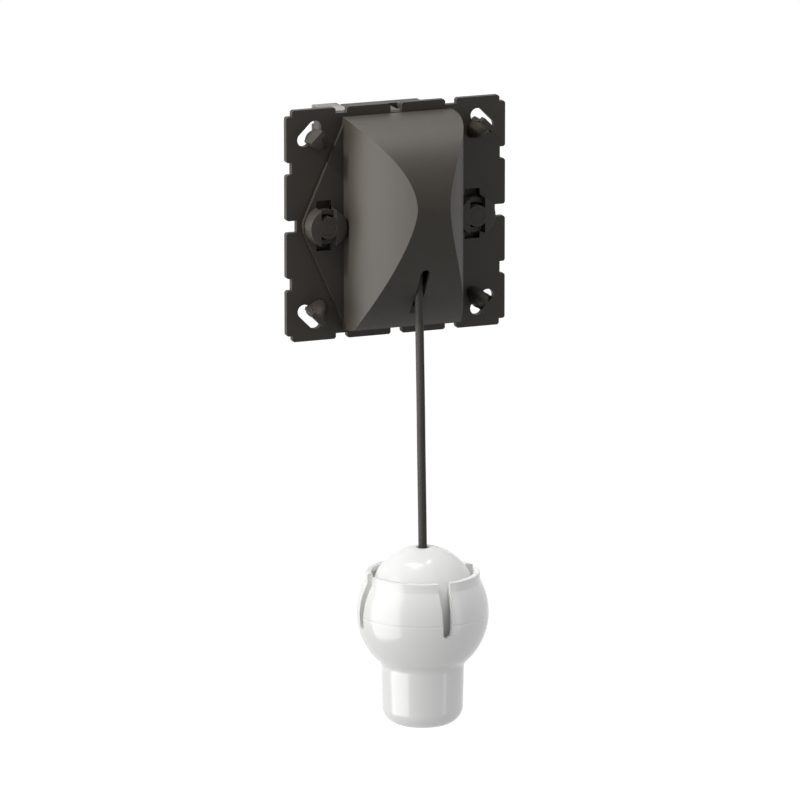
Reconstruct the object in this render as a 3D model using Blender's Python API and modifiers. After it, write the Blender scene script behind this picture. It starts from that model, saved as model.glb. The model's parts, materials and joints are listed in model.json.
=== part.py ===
"""Pull cord switch for a flush wall box.

The wall is the plane y = 0, the front faces -Y and +Z is up. The origin is the centre of the
mounting plate's back face. A cord hangs from a bell crank inside the hood: pulling it turns the
crank, which pushes a plunger back and closes a bridging contact in the housing behind the plate.
"""

import math

import bmesh
import bpy
from mathutils import Matrix, Vector

MM = 0.001

# Clearance kept between neighbouring pieces
GAP = 0.3 * MM

# Mounting plate
PLATE_SIDE = 71.0 * MM
PLATE_THICK = 2.0 * MM
CORNER_STEP = 1.9 * MM
EDGE_CHAMFER = 0.5 * MM
NOTCH_WIDTH = 3.7 * MM
NOTCH_DEPTH = 1.7 * MM
SIDE_NOTCH_DEPTH = 3.3 * MM
TOP_NOTCH_DEPTH = 2.7 * MM
BOTTOM_NOTCH_DEPTH = 2.0 * MM
SLOT_INSET = 10.5 * MM
SLOT_LENGTH = 9.2 * MM
SLOT_WIDTH = 4.3 * MM

# Snap hooks beside the corner slots
HOOK_RADIUS = 3.0 * MM
HOOK_TIP_RADIUS = 2.7 * MM
HOOK_SETBACK = 1.25 * MM
HOOK_HEIGHT = 6.4 * MM
HOOK_LEAN = 0.4 * MM
HOOK_REACH = 2.25 * MM
HOOK_LIP = 2.6 * MM
HOOK_NOSE_WIDTH = 5.3 * MM
HOOK_FLAT = 2.4 * MM

# Rails and lips on the back of the plate
RAIL_THICK = 1.6 * MM
RAIL_LENGTH = 24.0 * MM
RAIL_DEPTH = 9.0 * MM
LUG_LENGTH = 7.2 * MM
LUG_DEPTH = 2.6 * MM
LUG_OFFSET = 3.9 * MM
LUG_REACH = 1.3 * MM
LIP_LENGTH = 12.0 * MM
LIP_THICK = 1.5 * MM
LIP_DEPTH = 2.2 * MM

# Housing behind the plate
HOUSING_WIDTH = 34.4 * MM
HOUSING_DEPTH = 24.2 * MM
HOUSING_WALL = 1.5 * MM
COVER_THICK = 1.5 * MM
WINDOW_WIDTH = 3.6 * MM
WINDOW_LENGTH = 9.0 * MM
WINDOW_X = 7.2 * MM
WINDOW_Y = 15.5 * MM

# Hood over the mechanism, measured from its own base
HOOD_OVERHANG = 0.5 * MM
HOOD_HEIGHT = 29.9 * MM
HOOD_SIDE_HEIGHT = 34.8 * MM
HOOD_FOOT_HEIGHT = 4.4 * MM
HOOD_TOP_MARGIN = 2.9 * MM
HOOD_BOTTOM_MARGIN = 2.6 * MM
HOOD_RAMP_OVERRUN = 3.5 * MM
HOOD_END_DRAFT = 0.163
HOOD_APEX_Z = 8.5 * MM
HOOD_RAMP_POWER = 1.48
HOOD_STEPS = 18
BISECTIONS = 40
HOOD_WALL = 1.5 * MM
FLANGE_THICK = 1.3 * MM
CORD_SLOT_WIDTH = 2.9 * MM
CORD_SLOT_TOP_Z = -11.3 * MM
CORD_SLOT_BOTTOM_Z = -26.4 * MM

# Round bosses at the hood's sides and the pins that hold them
BOSS_OFFSET = 6.9 * MM
BOSS_RADIUS = 6.3 * MM
BOSS_FACE_RADIUS = 5.9 * MM
BOSS_HEIGHT = 5.7 * MM
BOSS_CHAMFER = 0.4 * MM
FLANGE_END_RADIUS = 6.6 * MM
BOSS_CORE_RADIUS = 3.3 * MM
BOSS_LEDGE_INNER = 3.9 * MM
BOSS_LEDGE_OUTER = 5.3 * MM
BOSS_LEDGE_HEIGHT = 3.2 * MM
BOSS_POCKET_WIDTH = 4.86 * MM
BOSS_POCKET_REACH = 7.7 * MM
PLATE_POCKET_DEPTH = 1.2 * MM
HOOD_PIN_RADIUS = 2.0 * MM
HOOD_PIN_HEAD_RADIUS = 4.0 * MM
HOOD_PIN_HEAD = 0.8 * MM
HOOD_PIN_COVER = 1.2 * MM

# Bell crank, its pin and the cord's anchor
CORD_TRAVEL = 6.0 * MM
ANCHOR_H = 17.5 * MM
ANCHOR_Z = -2.0 * MM
LEVER_ARM = 12.5 * MM
PUSH_ARM = 8.0 * MM
PUSH_ARM_WIDTH = 1.7 * MM
PAD_RADIUS = 1.5 * MM
HUB_RADIUS = 2.9 * MM
HUB_WIDTH = 10.4 * MM
LEVER_WIDTH = 7.6 * MM
LEVER_ARM_DEPTH = 4.2 * MM
LEVER_CHANNEL = 3.5 * MM
LEVER_TIP = 3.3 * MM
LEVER_PIN_RADIUS = 1.2 * MM
LEVER_PIN_HEAD = 2.0 * MM
EAR_THICK = 1.6 * MM
EAR_RADIUS = 3.6 * MM
NIPPLE_RADIUS = 2.2 * MM
NIPPLE_LENGTH = 7.0 * MM

# Plunger, contacts and return spring
PLUNGER_SIDE = 5.0 * MM
PLUNGER_STOP = 8.0 * MM
PLUNGER_STOP_THICK = 1.5 * MM
PLUNGER_NECK = 1.5 * MM
PLUNGER_TAIL = 4.0 * MM
BRIDGE_Y = 7.4 * MM
BRIDGE_LENGTH = 24.0 * MM
BRIDGE_WIDTH = 5.0 * MM
BRIDGE_THICK = 0.8 * MM
CONTACT_X = 9.0 * MM
RIVET_RADIUS = 2.0 * MM
RIVET_HEAD = 1.0 * MM
RIVET_SHANK = 0.8 * MM
RIVET_TAIL_RADIUS = 1.5 * MM
RIVET_TAIL = 0.5 * MM
STRIP_THICK = 0.8 * MM
STRIP_WIDTH = 5.0 * MM
SPRING_RADIUS = 2.7 * MM
SPRING_WIRE = 0.35 * MM
SPRING_TURNS = 6
SPRING_STEPS = 12
SPRING_PEG_RADIUS = 1.8 * MM
SPRING_PEG_LENGTH = 3.7 * MM

# Push-in terminals with their release levers
TERMINAL_INSET = 9.5 * MM
CLAMP_HEIGHT = 6.4 * MM
CLAMP_THICK = 0.5 * MM
CLAMP_BEND = 1.0 * MM
CLAMP_TIP_GAP = 0.8 * MM
TONGUE_SETBACK = 1.5 * MM
TONGUE_RISE = 3.0 * MM
WIRE_HOLE_RADIUS = 1.7 * MM
RELEASE_WIDTH = 8.2 * MM
RELEASE_INSET = 1.0 * MM
RELEASE_HEIGHT = 5.0 * MM
RELEASE_PROUD = 2.7 * MM
RELEASE_LENGTH = 11.9 * MM
RELEASE_FOOT_WIDTH = 2.4 * MM
RELEASE_FOOT_X = 10.6 * MM
RELEASE_TRAVEL = 1.8 * MM
GROOVE_WIDTH = 0.5 * MM
GROOVE_DEPTH = 0.5 * MM
GROOVE_START = 1.0 * MM
GROOVE_PITCH = 1.5 * MM
GROOVE_COUNT = 3

# Rear cover screws
SCREW_INSET = 4.0 * MM
SCREW_BOSS = 5.0 * MM
SCREW_RADIUS = 1.0 * MM
SCREW_HEAD_RADIUS = 2.4 * MM
SCREW_HEAD = 1.6 * MM
SCREW_LENGTH = 11.0 * MM
SCREW_RECESS = 0.7 * MM
SCREW_CROSS = 1.68 * MM

# Cord and pull knob
CORD_RADIUS = 1.3 * MM
CORD_JOINT_GAP = 1.0 * MM
CORD_SPACING = 6.5 * MM
KNOB_H = 21.3 * MM
KNOB_DROP = 117.2 * MM
BULB_RADIUS = 20.0 * MM
KNOB_WALL = 1.8 * MM
RIM_SETBACK = 2.7 * MM
RIM_COLLAR = 2.66 * MM
STEM_SETBACK = 7.5 * MM
STEM_DRAFT = 0.25 * MM
STEM_WALL = 1.9 * MM
NECK_FILLET = 3.0 * MM
FOOT_Z = -34.5 * MM
FOOT_ROUND = 5.5 * MM
STEM_FLOOR = 2.5 * MM
LEDGE_Z = -7.0 * MM
PETAL_SLOT_WIDTH = 3.2 * MM
PETAL_SLOT_FOOT = 2.1 * MM
PETAL_SLOT_Z = -3.8 * MM
DOME_SETBACK = 1.2 * MM
DOME_RISE = 4.4 * MM
DOME_FLAT_RADIUS = 3.5 * MM
SKIRT_SETBACK = 0.9 * MM
CORD_HOLE_RADIUS = 1.75 * MM
KNOT_RADIUS = 3.0 * MM
CORD_END_DROP = 0.4 * MM
CORD_BEND_H = 18.35 * MM
CORD_BEND_DROP = 22.5 * MM

# The hanging cord's slight bow, chosen by hand: share of the way from the slot's lip to the knob,
# and distance forward of a straight line
CORD_BOW = [(0.164, 0.02 * MM), (0.386, 0.11 * MM), (0.622, 0.02 * MM), (0.831, 0.05 * MM)]

# Places worked out from the sizes above
HALF = PLATE_SIDE / 2
BASE_H = GAP
NOTCH_PITCH = PLATE_SIDE / 4
SLOT_RADIUS = HALF * math.sqrt(2) - SLOT_INSET
SLOT_INNER = SLOT_RADIUS - SLOT_WIDTH / 2
HOUSING_HEIGHT = PLATE_SIDE - 2 * (TOP_NOTCH_DEPTH + LIP_THICK + GAP)
HOOD_HALF_WIDTH = HOUSING_WIDTH / 2 + HOOD_OVERHANG
HOOD_TOP_Z = HALF - HOOD_TOP_MARGIN
HOOD_BOTTOM_Z = HOOD_BOTTOM_MARGIN - HALF
RAMP_FOOT_Z = HOOD_BOTTOM_Z - HOOD_RAMP_OVERRUN
BOSS_X = HOUSING_WIDTH / 2 + BOSS_OFFSET
TERMINAL_Z = HOUSING_HEIGHT / 2 - TERMINAL_INSET
OPENING_HALF_WIDTH = HOUSING_WIDTH / 2 + GAP
OPENING_HALF_HEIGHT = HOUSING_HEIGHT / 2 + GAP
HOUSING_BACK = HOUSING_DEPTH - PLATE_THICK
HOUSING_INNER_X = HOUSING_WIDTH / 2 - HOUSING_WALL
HOUSING_INNER_Z = HOUSING_HEIGHT / 2 - HOUSING_WALL
WALL_BACK = HOUSING_WALL - PLATE_THICK
COVER_FRONT = HOUSING_BACK + GAP
COVER_BACK = COVER_FRONT + COVER_THICK
LEVER_HALF_SWING = math.asin(CORD_TRAVEL / 2 / LEVER_ARM)
PIVOT_Y = -(PLATE_THICK + ANCHOR_H - LEVER_ARM * (1 + math.cos(LEVER_HALF_SWING)) / 2)
PIVOT_Z = ANCHOR_Z - CORD_TRAVEL / 2
ANCHOR_Y = -(PLATE_THICK + ANCHOR_H)
PUSH_TRAVEL = 2 * PUSH_ARM * math.sin(LEVER_HALF_SWING)
PLUNGER_Z = PIVOT_Z - PUSH_ARM
PLUNGER_FRONT = PIVOT_Y - PUSH_TRAVEL / 2 + PAD_RADIUS + GAP
BRIDGE_BACK = BRIDGE_Y + BRIDGE_THICK
BRIDGE_TIP = BRIDGE_BACK + GAP + RIVET_HEAD
FIXED_TIP = BRIDGE_TIP + PUSH_TRAVEL + GAP
STRIP_FRONT = FIXED_TIP + RIVET_HEAD + GAP
STRIP_BACK = STRIP_FRONT + STRIP_THICK
SCREW_X = HOUSING_WIDTH / 2 - SCREW_INSET
SCREW_Z = HOUSING_HEIGHT / 2 - SCREW_INSET
KNOB_Y = -(PLATE_THICK + KNOB_H)
KNOB_Z = -KNOB_DROP
RELEASE_BACK = COVER_BACK + RELEASE_PROUD
RELEASE_X = HOUSING_WIDTH / 2 - RELEASE_INSET - RELEASE_WIDTH / 2
RELEASE_Z = HOUSING_HEIGHT / 2 - RELEASE_HEIGHT / 2
TONGUE_X = CONTACT_X - STRIP_WIDTH / 2
WIRE_X = TONGUE_X + STRIP_THICK + WIRE_HOLE_RADIUS
RIB_HALF_WIDTH = STRIP_WIDTH / 2 - STRIP_THICK - GAP
CLAMP_WALL = HOUSING_INNER_X - GAP - CLAMP_THICK / 2
CLAMP_TIP = TONGUE_X + STRIP_THICK + CLAMP_TIP_GAP
CLAMP_BACK = HOUSING_BACK - HOUSING_WALL
RIM_RADIUS = BULB_RADIUS - RIM_SETBACK
RIM_Z = math.sqrt(BULB_RADIUS ** 2 - RIM_RADIUS ** 2) + RIM_COLLAR
STEM_RADIUS = BULB_RADIUS - STEM_SETBACK
STEM_FOOT_RADIUS = STEM_RADIUS - STEM_DRAFT
STEM_BORE = STEM_RADIUS - STEM_WALL
DOME_RADIUS = RIM_RADIUS - DOME_SETBACK
DOME_SKIRT_RADIUS = DOME_RADIUS - SKIRT_SETBACK
CORD_START_Z = ANCHOR_Z - NIPPLE_RADIUS - GAP
CORD_END_Z = KNOB_Z + DOME_RISE + DOME_RADIUS - KNOB_WALL - CORD_END_DROP
CORD_BEND = (0.0, -(PLATE_THICK + CORD_BEND_H), -CORD_BEND_DROP)

# Local axes: turned pieces spin about Z, and flat outlines lie in XY
TO_FRONT = Matrix.Rotation(math.pi / 2, 4, "X")
TO_BACK = Matrix.Rotation(-math.pi / 2, 4, "X")
TO_SIDE = Matrix.Rotation(math.pi / 2, 4, "Y")
PROFILE_VIEW = Matrix(((0, 0, -1, 0), (-1, 0, 0, 0), (0, 1, 0, 0), (0, 0, 0, 1)))
BEYOND = 4.0 * MM
TRIM = 2.0 * MM
ROUND_STEPS = 32
CORE_STEPS = 36
KNOB_STEPS = 48
RIVET_STEPS = 24
HOLE_STEPS = 16
MITRE_LIMIT = 0.2

PARTS = bpy.data.collections.new("pull_cord_switch")
TOOLS = bpy.data.collections.new("cutters")


def clear_scene():
    for obj in list(bpy.data.objects):
        bpy.data.objects.remove(obj, do_unlink=True)
    for group in (PARTS, TOOLS):
        bpy.context.scene.collection.children.link(group)


def finish(name, colour, roughness, metallic=0.0):
    """A plain Principled finish."""
    mat = bpy.data.materials.new(name)
    mat.use_nodes = True
    shader = mat.node_tree.nodes["Principled BSDF"]
    shader.inputs["Base Color"].default_value = (*colour, 1.0)
    shader.inputs["Roughness"].default_value = roughness
    shader.inputs["Metallic"].default_value = metallic
    return mat


# Shapes

def tool(name, data, place=None):
    """An object that only cuts or joins others until it is made a part."""
    obj = bpy.data.objects.new(name, data)
    TOOLS.objects.link(obj)
    obj.matrix_world = place or Matrix()
    obj.hide_render = True
    obj.display_type = "WIRE"
    return obj


def from_bmesh(name, bm, place=None):
    mesh = bpy.data.meshes.new(name)
    bm.to_mesh(mesh)
    bm.free()
    return tool(name, mesh, place)


def block(name, low, high, place=None):
    """A box between two corners."""
    low, high = Vector(low), Vector(high)
    bm = bmesh.new()
    bmesh.ops.create_cube(bm, size=1.0)
    bmesh.ops.scale(bm, vec=high - low, verts=bm.verts)
    bmesh.ops.translate(bm, vec=(low + high) / 2, verts=bm.verts)
    return from_bmesh(name, bm, place)


def rod(name, radius, start, end, steps=ROUND_STEPS):
    """A round bar between two points."""
    start, end = Vector(start), Vector(end)
    bm = bmesh.new()
    bmesh.ops.create_cone(bm, cap_ends=True, segments=steps, radius1=radius, radius2=radius,
                          depth=(end - start).length)
    turn = (end - start).to_track_quat("Z", "Y").to_matrix().to_4x4()
    return from_bmesh(name, bm, Matrix.Translation((start + end) / 2) @ turn)


def turned(name, profile, place, steps=ROUND_STEPS, closed=False):
    """A profile of (radius, height) points spun about local Z, listed down its outer side."""
    mesh = bpy.data.meshes.new(name)
    count = len(profile)
    edges = [(i, i + 1) for i in range(count - 1)]
    if closed:
        edges.append((count - 1, 0))
    mesh.from_pydata([(r, 0.0, z) for r, z in profile], edges, [])
    obj = tool(name, mesh, place)
    spin = obj.modifiers.new("Spin", "SCREW")
    spin.steps = steps
    spin.render_steps = steps
    spin.use_merge_vertices = True
    spin.merge_threshold = 0.000001
    return obj


def slab(name, loops, half, place):
    """A flat outline, with any further loops as holes, extruded by half to both sides."""
    curve = bpy.data.curves.new(name, "CURVE")
    curve.dimensions = "2D"
    curve.fill_mode = "BOTH"
    curve.extrude = half
    for loop in loops:
        spline = curve.splines.new("POLY")
        spline.points.add(len(loop) - 1)
        for point, (x, y) in zip(spline.points, loop):
            point.co = (x, y, 0.0, 1.0)
        spline.use_cyclic_u = True
    guide = bpy.data.objects.new(name, curve)
    TOOLS.objects.link(guide)
    shape = guide.evaluated_get(bpy.context.evaluated_depsgraph_get())
    mesh = bpy.data.meshes.new_from_object(shape)
    bpy.data.objects.remove(guide)
    bm = bmesh.new()
    bm.from_mesh(mesh)
    bmesh.ops.remove_doubles(bm, verts=bm.verts, dist=0.000001)
    bmesh.ops.recalc_face_normals(bm, faces=bm.faces)
    bm.to_mesh(mesh)
    bm.free()
    return tool(name, mesh, place)


def tube(name, points, radius):
    """A round wire or cord along a run of points."""
    curve = bpy.data.curves.new(name, "CURVE")
    curve.dimensions = "3D"
    curve.bevel_depth = radius
    curve.bevel_resolution = 2
    curve.use_fill_caps = True
    spline = curve.splines.new("POLY")
    spline.points.add(len(points) - 1)
    for point, place in zip(spline.points, points):
        point.co = (*place, 1.0)
    return tool(name, curve)


def shape_by(obj, operation, other):
    step = obj.modifiers.new(other.name, "BOOLEAN")
    step.operation = operation
    step.solver = "EXACT"
    step.object = other
    return obj


def part(name, obj, mat, joins=(), cuts=()):
    """Makes a shape one of the switch's own pieces, joined and cut in order."""
    for other in joins:
        shape_by(obj, "UNION", other)
    for other in cuts:
        shape_by(obj, "DIFFERENCE", other)
    TOOLS.objects.unlink(obj)
    PARTS.objects.link(obj)
    obj.name = name
    obj.hide_render = False
    obj.display_type = "TEXTURED"
    obj.data.materials.append(mat)
    if obj.type == "MESH":
        obj.data.shade_smooth()
        obj.data.set_sharp_from_angle(angle=math.radians(35))
    return obj


def hang_at(obj, place):
    """Puts a moving piece's origin on its joint axis, with its shape left where it is."""
    there = Matrix.Translation(place)
    obj.data.transform(there.inverted() @ obj.matrix_world)
    obj.matrix_world = there
    return obj


# Outlines

def arc(cx, cy, radius, start, end, steps):
    """Points on a circle between two angles in degrees, both ends included."""
    turns = [math.radians(start + (end - start) * i / steps) for i in range(steps + 1)]
    return [(cx + radius * math.cos(a), cy + radius * math.sin(a)) for a in turns]


def circle(cx, cy, radius, steps=ROUND_STEPS):
    return arc(cx, cy, radius, 0, 360, steps)[:-1]


def ribbon(points, thick):
    """The outline of a bent strip of even thickness along a path of (x, y) points."""
    path = [Vector(p) for p in points]
    left, right = [], []
    for i, point in enumerate(path):
        before = (point - path[i - 1]).normalized() if i else (path[1] - point).normalized()
        after = (path[i + 1] - point).normalized() if i < len(path) - 1 else before
        along = (before + after).normalized()
        across = Vector((-along.y, along.x)) * (thick / 2 / max(along.dot(after), MITRE_LIMIT))
        left.append(tuple(point + across))
        right.append(tuple(point - across))
    return left + right[::-1]


def plate_side(centre_depth):
    """One side of the plate, from corner step to corner step, as (along, outward) points."""
    c, step, w = EDGE_CHAMFER, CORNER_STEP, NOTCH_WIDTH / 2
    points = [(-HALF + step, HALF - step), (-HALF + step, HALF - c), (-HALF + step + c, HALF)]
    notches = ((-NOTCH_PITCH, NOTCH_DEPTH), (0.0, centre_depth), (NOTCH_PITCH, NOTCH_DEPTH))
    for middle, depth in notches:
        left, right = middle - w, middle + w
        points += [(left - c, HALF), (left, HALF - c), (left, HALF - depth)]
        points += [(right, HALF - depth), (right, HALF - c), (right + c, HALF)]
    return points + [(HALF - step - c, HALF), (HALF - step, HALF - c)]


def plate_outline():
    sides = plate_side(SIDE_NOTCH_DEPTH)
    right = [(out, -along) for along, out in sides]
    bottom = [(-along, -out) for along, out in plate_side(BOTTOM_NOTCH_DEPTH)]
    left = [(-out, along) for along, out in sides]
    return plate_side(TOP_NOTCH_DEPTH) + right + bottom + left


def corner_slot(sx, sz):
    """An obround hole across one corner of the plate."""
    turn = math.degrees(math.atan2(sz, sx))
    run = (SLOT_LENGTH - SLOT_WIDTH) / 2
    out = Vector((sx, sz)).normalized()
    along = Vector((-out.y, out.x))
    points = []
    for sign, start in ((1, turn), (-1, turn + 180)):
        centre = out * SLOT_RADIUS + along * run * sign
        points += arc(centre.x, centre.y, SLOT_WIDTH / 2, start, start + 180, 8)
    return points


def tangent_angle(x, z, radius):
    """Where a line from (x, z) touches a circle about the origin, in degrees."""
    return math.degrees(math.atan2(z, x) - math.copysign(math.acos(radius / math.hypot(x, z)), z))


def flange_outline():
    """Round ends about the bosses, drawn in to the hood's four corners."""
    inset = HOOD_WALL / 2
    wide, top, bottom = HOOD_HALF_WIDTH - inset, HOOD_TOP_Z - inset, HOOD_BOTTOM_Z + inset
    upper = tangent_angle(wide - BOSS_X, top, FLANGE_END_RADIUS)
    lower = tangent_angle(wide - BOSS_X, bottom, FLANGE_END_RADIUS)
    right = arc(BOSS_X, 0, FLANGE_END_RADIUS, lower, upper, 12)
    left = [(-x, z) for x, z in reversed(right)]
    return right + [(wide, top), (-wide, top)] + left + [(-wide, bottom), (wide, bottom)]


def hood_section(inset, foot):
    """The hood seen from above, as (x, height): an upright foot at each side under a parabola."""
    wide, rise = HOOD_HALF_WIDTH - inset, HOOD_SIDE_HEIGHT - inset - HOOD_FOOT_HEIGHT
    points = []
    for i in range(-HOOD_STEPS, HOOD_STEPS + 1):
        across = -math.sin(math.pi / 2 * i / HOOD_STEPS)
        points.append((wide * across, HOOD_FOOT_HEIGHT + rise * math.sqrt(1 - abs(across))))
    return points + [(-wide, foot), (wide, foot)]


def ramp_height(z, inset=0.0):
    """The hood's height above its base at a level on the ramp, for the outside or set in from it."""
    share = (HOOD_APEX_Z - z) / (HOOD_APEX_Z - RAMP_FOOT_Z - inset)
    return (HOOD_HEIGHT - inset) * (1 - share ** HOOD_RAMP_POWER) ** (1 / HOOD_RAMP_POWER)


def ramp_end(inset):
    """Where the ramp meets the drafted end wall under it."""
    low, high = HOOD_BOTTOM_Z, HOOD_APEX_Z
    for _ in range(BISECTIONS):
        z = (low + high) / 2
        if z > end_wall(ramp_height(z, inset), inset):
            high = z
        else:
            low = z
    return high


def end_wall(height, inset):
    """The level of the hood's lower end wall at a height above its base."""
    return HOOD_BOTTOM_Z + inset + HOOD_END_DRAFT * height


def hood_arch(inset, foot):
    """The hood seen from its side, as (height, z): a round brow, a long ramp and a drafted end wall."""
    top, high, end = HOOD_TOP_Z - inset, HOOD_HEIGHT - inset, ramp_end(inset)
    points = []
    for i in range(HOOD_STEPS + 1):
        a = math.pi / 2 * i / HOOD_STEPS
        points.append((high * math.sin(a), HOOD_APEX_Z + (top - HOOD_APEX_Z) * math.cos(a)))
    for i in range(1, HOOD_STEPS + 1):
        z = HOOD_APEX_Z + (end - HOOD_APEX_Z) * i / HOOD_STEPS
        points.append((ramp_height(z, inset), z))
    return points + [(foot, end_wall(foot, inset)), (foot, top)]


def hood_blank(name, inset, foot):
    """The crossing of the hood's two profiles."""
    base = Matrix.Translation((0, -(PLATE_THICK + BASE_H), 0))
    above = Matrix(((1, 0, 0, 0), (0, -1, 0, 0), (0, 0, -1, 0), (0, 0, 0, 1)))
    section = slab(name + "_section", [hood_section(inset, foot)], PLATE_SIDE, base @ above)
    arch = slab(name + "_arch", [hood_arch(inset, foot)], PLATE_SIDE, base @ PROFILE_VIEW)
    return shape_by(section, "INTERSECT", arch)


# Mounting frame and hood

def hook(sx, sz):
    """A snap hook's tapered post, cut to a slope on its inner side, and its straight nose."""
    depth = HOOK_HEIGHT + PLATE_THICK - GAP
    tip = HOOK_SETBACK + HOOK_REACH
    bm = bmesh.new()
    bmesh.ops.create_cone(bm, cap_ends=True, segments=ROUND_STEPS, radius1=HOOK_RADIUS,
                          radius2=HOOK_TIP_RADIUS, depth=depth)
    bmesh.ops.translate(bm, vec=(0, 0, HOOK_HEIGHT - depth / 2), verts=bm.verts)
    for vert in bm.verts:
        vert.co.x += HOOK_LEAN * max(vert.co.z, 0.0) / HOOK_HEIGHT
    flat = Vector((tip - HOOK_FLAT, 0, HOOK_HEIGHT))
    foot = Vector((-HOOK_RADIUS, 0, HOOK_HEIGHT / 4))
    slope = Vector((foot.z - flat.z, 0, flat.x - foot.x)).normalized()
    geometry = bm.verts[:] + bm.edges[:] + bm.faces[:]
    bmesh.ops.bisect_plane(bm, geom=geometry, plane_co=flat, plane_no=slope, clear_outer=True)
    bmesh.ops.holes_fill(bm, edges=[e for e in bm.edges if e.is_boundary])
    bmesh.ops.recalc_face_normals(bm, faces=bm.faces)
    mesh = bpy.data.meshes.new("hook_post")
    bm.to_mesh(mesh)
    bm.free()
    place, half = hook_place(sx, sz), HOOK_NOSE_WIDTH / 2
    nose = block("hook_nose", (flat.x, -half, HOOK_HEIGHT - HOOK_LIP), (tip, half, HOOK_HEIGHT), place)
    return [tool("hook_post", mesh, place), nose]


def hook_place(sx, sz):
    """Local X points out to the corner and local Z to the front, from the hook's foot."""
    centre = Vector((sx, 0, sz)).normalized() * (SLOT_INNER - HOOK_SETBACK)
    turn = Matrix.Rotation(-math.atan2(sz, sx), 4, "Y")
    return Matrix.Translation((centre.x, -PLATE_THICK, centre.z)) @ turn @ TO_FRONT


def mounting_frame(mat):
    """The square plate with its hooks, and the rails behind it that grip the housing."""
    corners = [(sx, sz) for sz in (1, -1) for sx in (-1, 1)]
    w, h = OPENING_HALF_WIDTH, OPENING_HALF_HEIGHT
    loops = [plate_outline(), [(-w, -h), (w, -h), (w, h), (-w, h)]]
    loops += [corner_slot(sx, sz) for sx, sz in corners]
    loops += [circle(sx * BOSS_X, 0, HOOD_PIN_RADIUS + GAP) for sx in (-1, 1)]
    place = Matrix.Translation((0, -PLATE_THICK / 2, 0)) @ TO_FRONT
    plate = slab("plate_blank", loops, PLATE_THICK / 2, place)
    joins, cuts = [], []
    root = -PLATE_THICK / 2
    for sx, sz in corners:
        joins += hook(sx, sz)
    for sx in (-1, 1):
        inner, outer = sorted((sx * w, sx * (w + RAIL_THICK)))
        reach = RAIL_LENGTH / 2
        joins.append(block("rail", (inner, root, -reach), (outer, RAIL_DEPTH, reach)))
        reach = LUG_LENGTH / 2 + GAP
        cuts.append(block("rail_window", (inner - GAP, LUG_OFFSET - GAP, -reach),
                          (outer + GAP, LUG_OFFSET + LUG_DEPTH + GAP, reach)))
        x, half = sx * BOSS_X, BOSS_POCKET_WIDTH / 2
        seat = -HOOD_PIN_HEAD - GAP
        cuts.append(rod("pin_seat", HOOD_PIN_HEAD_RADIUS + GAP, (x, seat, 0), (x, BEYOND, 0)))
        for sz in (-1, 1):
            inner, outer = sorted((sz * BOSS_LEDGE_OUTER, sz * BOSS_POCKET_REACH))
            cuts.append(block("plate_pocket", (x - half, -PLATE_THICK - GAP, inner),
                              (x + half, PLATE_POCKET_DEPTH - PLATE_THICK, outer)))
    for sz in (-1, 1):
        inner, outer = sorted((sz * h, sz * (HALF - TOP_NOTCH_DEPTH)))
        joins.append(block("lip", (-LIP_LENGTH / 2, root, inner), (LIP_LENGTH / 2, LIP_DEPTH, outer)))
    return part("mounting_frame", plate, mat, joins, cuts)


def boss(sx):
    """A slightly tapered round boss on the hood's flange."""
    face, high = BOSS_FACE_RADIUS, BOSS_HEIGHT
    profile = [(0, high), (face - BOSS_CHAMFER, high), (face, high - BOSS_CHAMFER), (BOSS_RADIUS, 0)]
    profile += [(BOSS_RADIUS, -TRIM), (0, -TRIM)]
    place = Matrix.Translation((sx * BOSS_X, -(PLATE_THICK + BASE_H), 0)) @ TO_FRONT
    return turned("boss", profile, place)


def boss_pockets(sx):
    """The windows above and below a boss's core, each with a low curved ledge standing in it."""
    x, y = sx * BOSS_X, -(PLATE_THICK + BASE_H)
    half, reach = BOSS_POCKET_WIDTH / 2, BOSS_POCKET_REACH
    top = y - BOSS_HEIGHT
    window = block("boss_window", (x - half, top - GAP, -reach), (x + half, y + GAP, reach))
    front, back = (x, top - BEYOND, 0), (x, y + BEYOND, 0)
    shape_by(window, "DIFFERENCE", rod("boss_core", BOSS_CORE_RADIUS, front, back, CORE_STEPS))
    ledge = [(BOSS_LEDGE_INNER, BOSS_LEDGE_HEIGHT), (BOSS_LEDGE_OUTER, BOSS_LEDGE_HEIGHT)]
    ledge += [(BOSS_LEDGE_OUTER, -BEYOND), (BOSS_LEDGE_INNER, -BEYOND)]
    ring = turned("boss_ledge", ledge, Matrix.Translation((x, y, 0)) @ TO_FRONT, closed=True)
    return shape_by(window, "DIFFERENCE", ring)


def cord_slot():
    """The fan-shaped slot that the cord swings in, narrowing towards the cord's anchor."""
    apex = Vector((ANCHOR_H, ANCHOR_Z))
    top_z = CORD_SLOT_TOP_Z - CORD_SLOT_WIDTH / 2
    ends = [Vector((BASE_H + ramp_height(z), z)) for z in (top_z, CORD_SLOT_BOTTOM_Z)]
    far = [apex + (end - apex) * (1 + BEYOND / (end - apex).length) for end in ends]
    place = Matrix.Translation((0, -PLATE_THICK, 0)) @ PROFILE_VIEW
    fan = slab("cord_slot", [[tuple(p) for p in (apex, *far)]], CORD_SLOT_WIDTH / 2, place)
    start, end = ((0, -(PLATE_THICK + p.x), p.y) for p in (apex, far[0]))
    return [fan, rod("cord_slot_round", CORD_SLOT_WIDTH / 2, start, end)]


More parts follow.
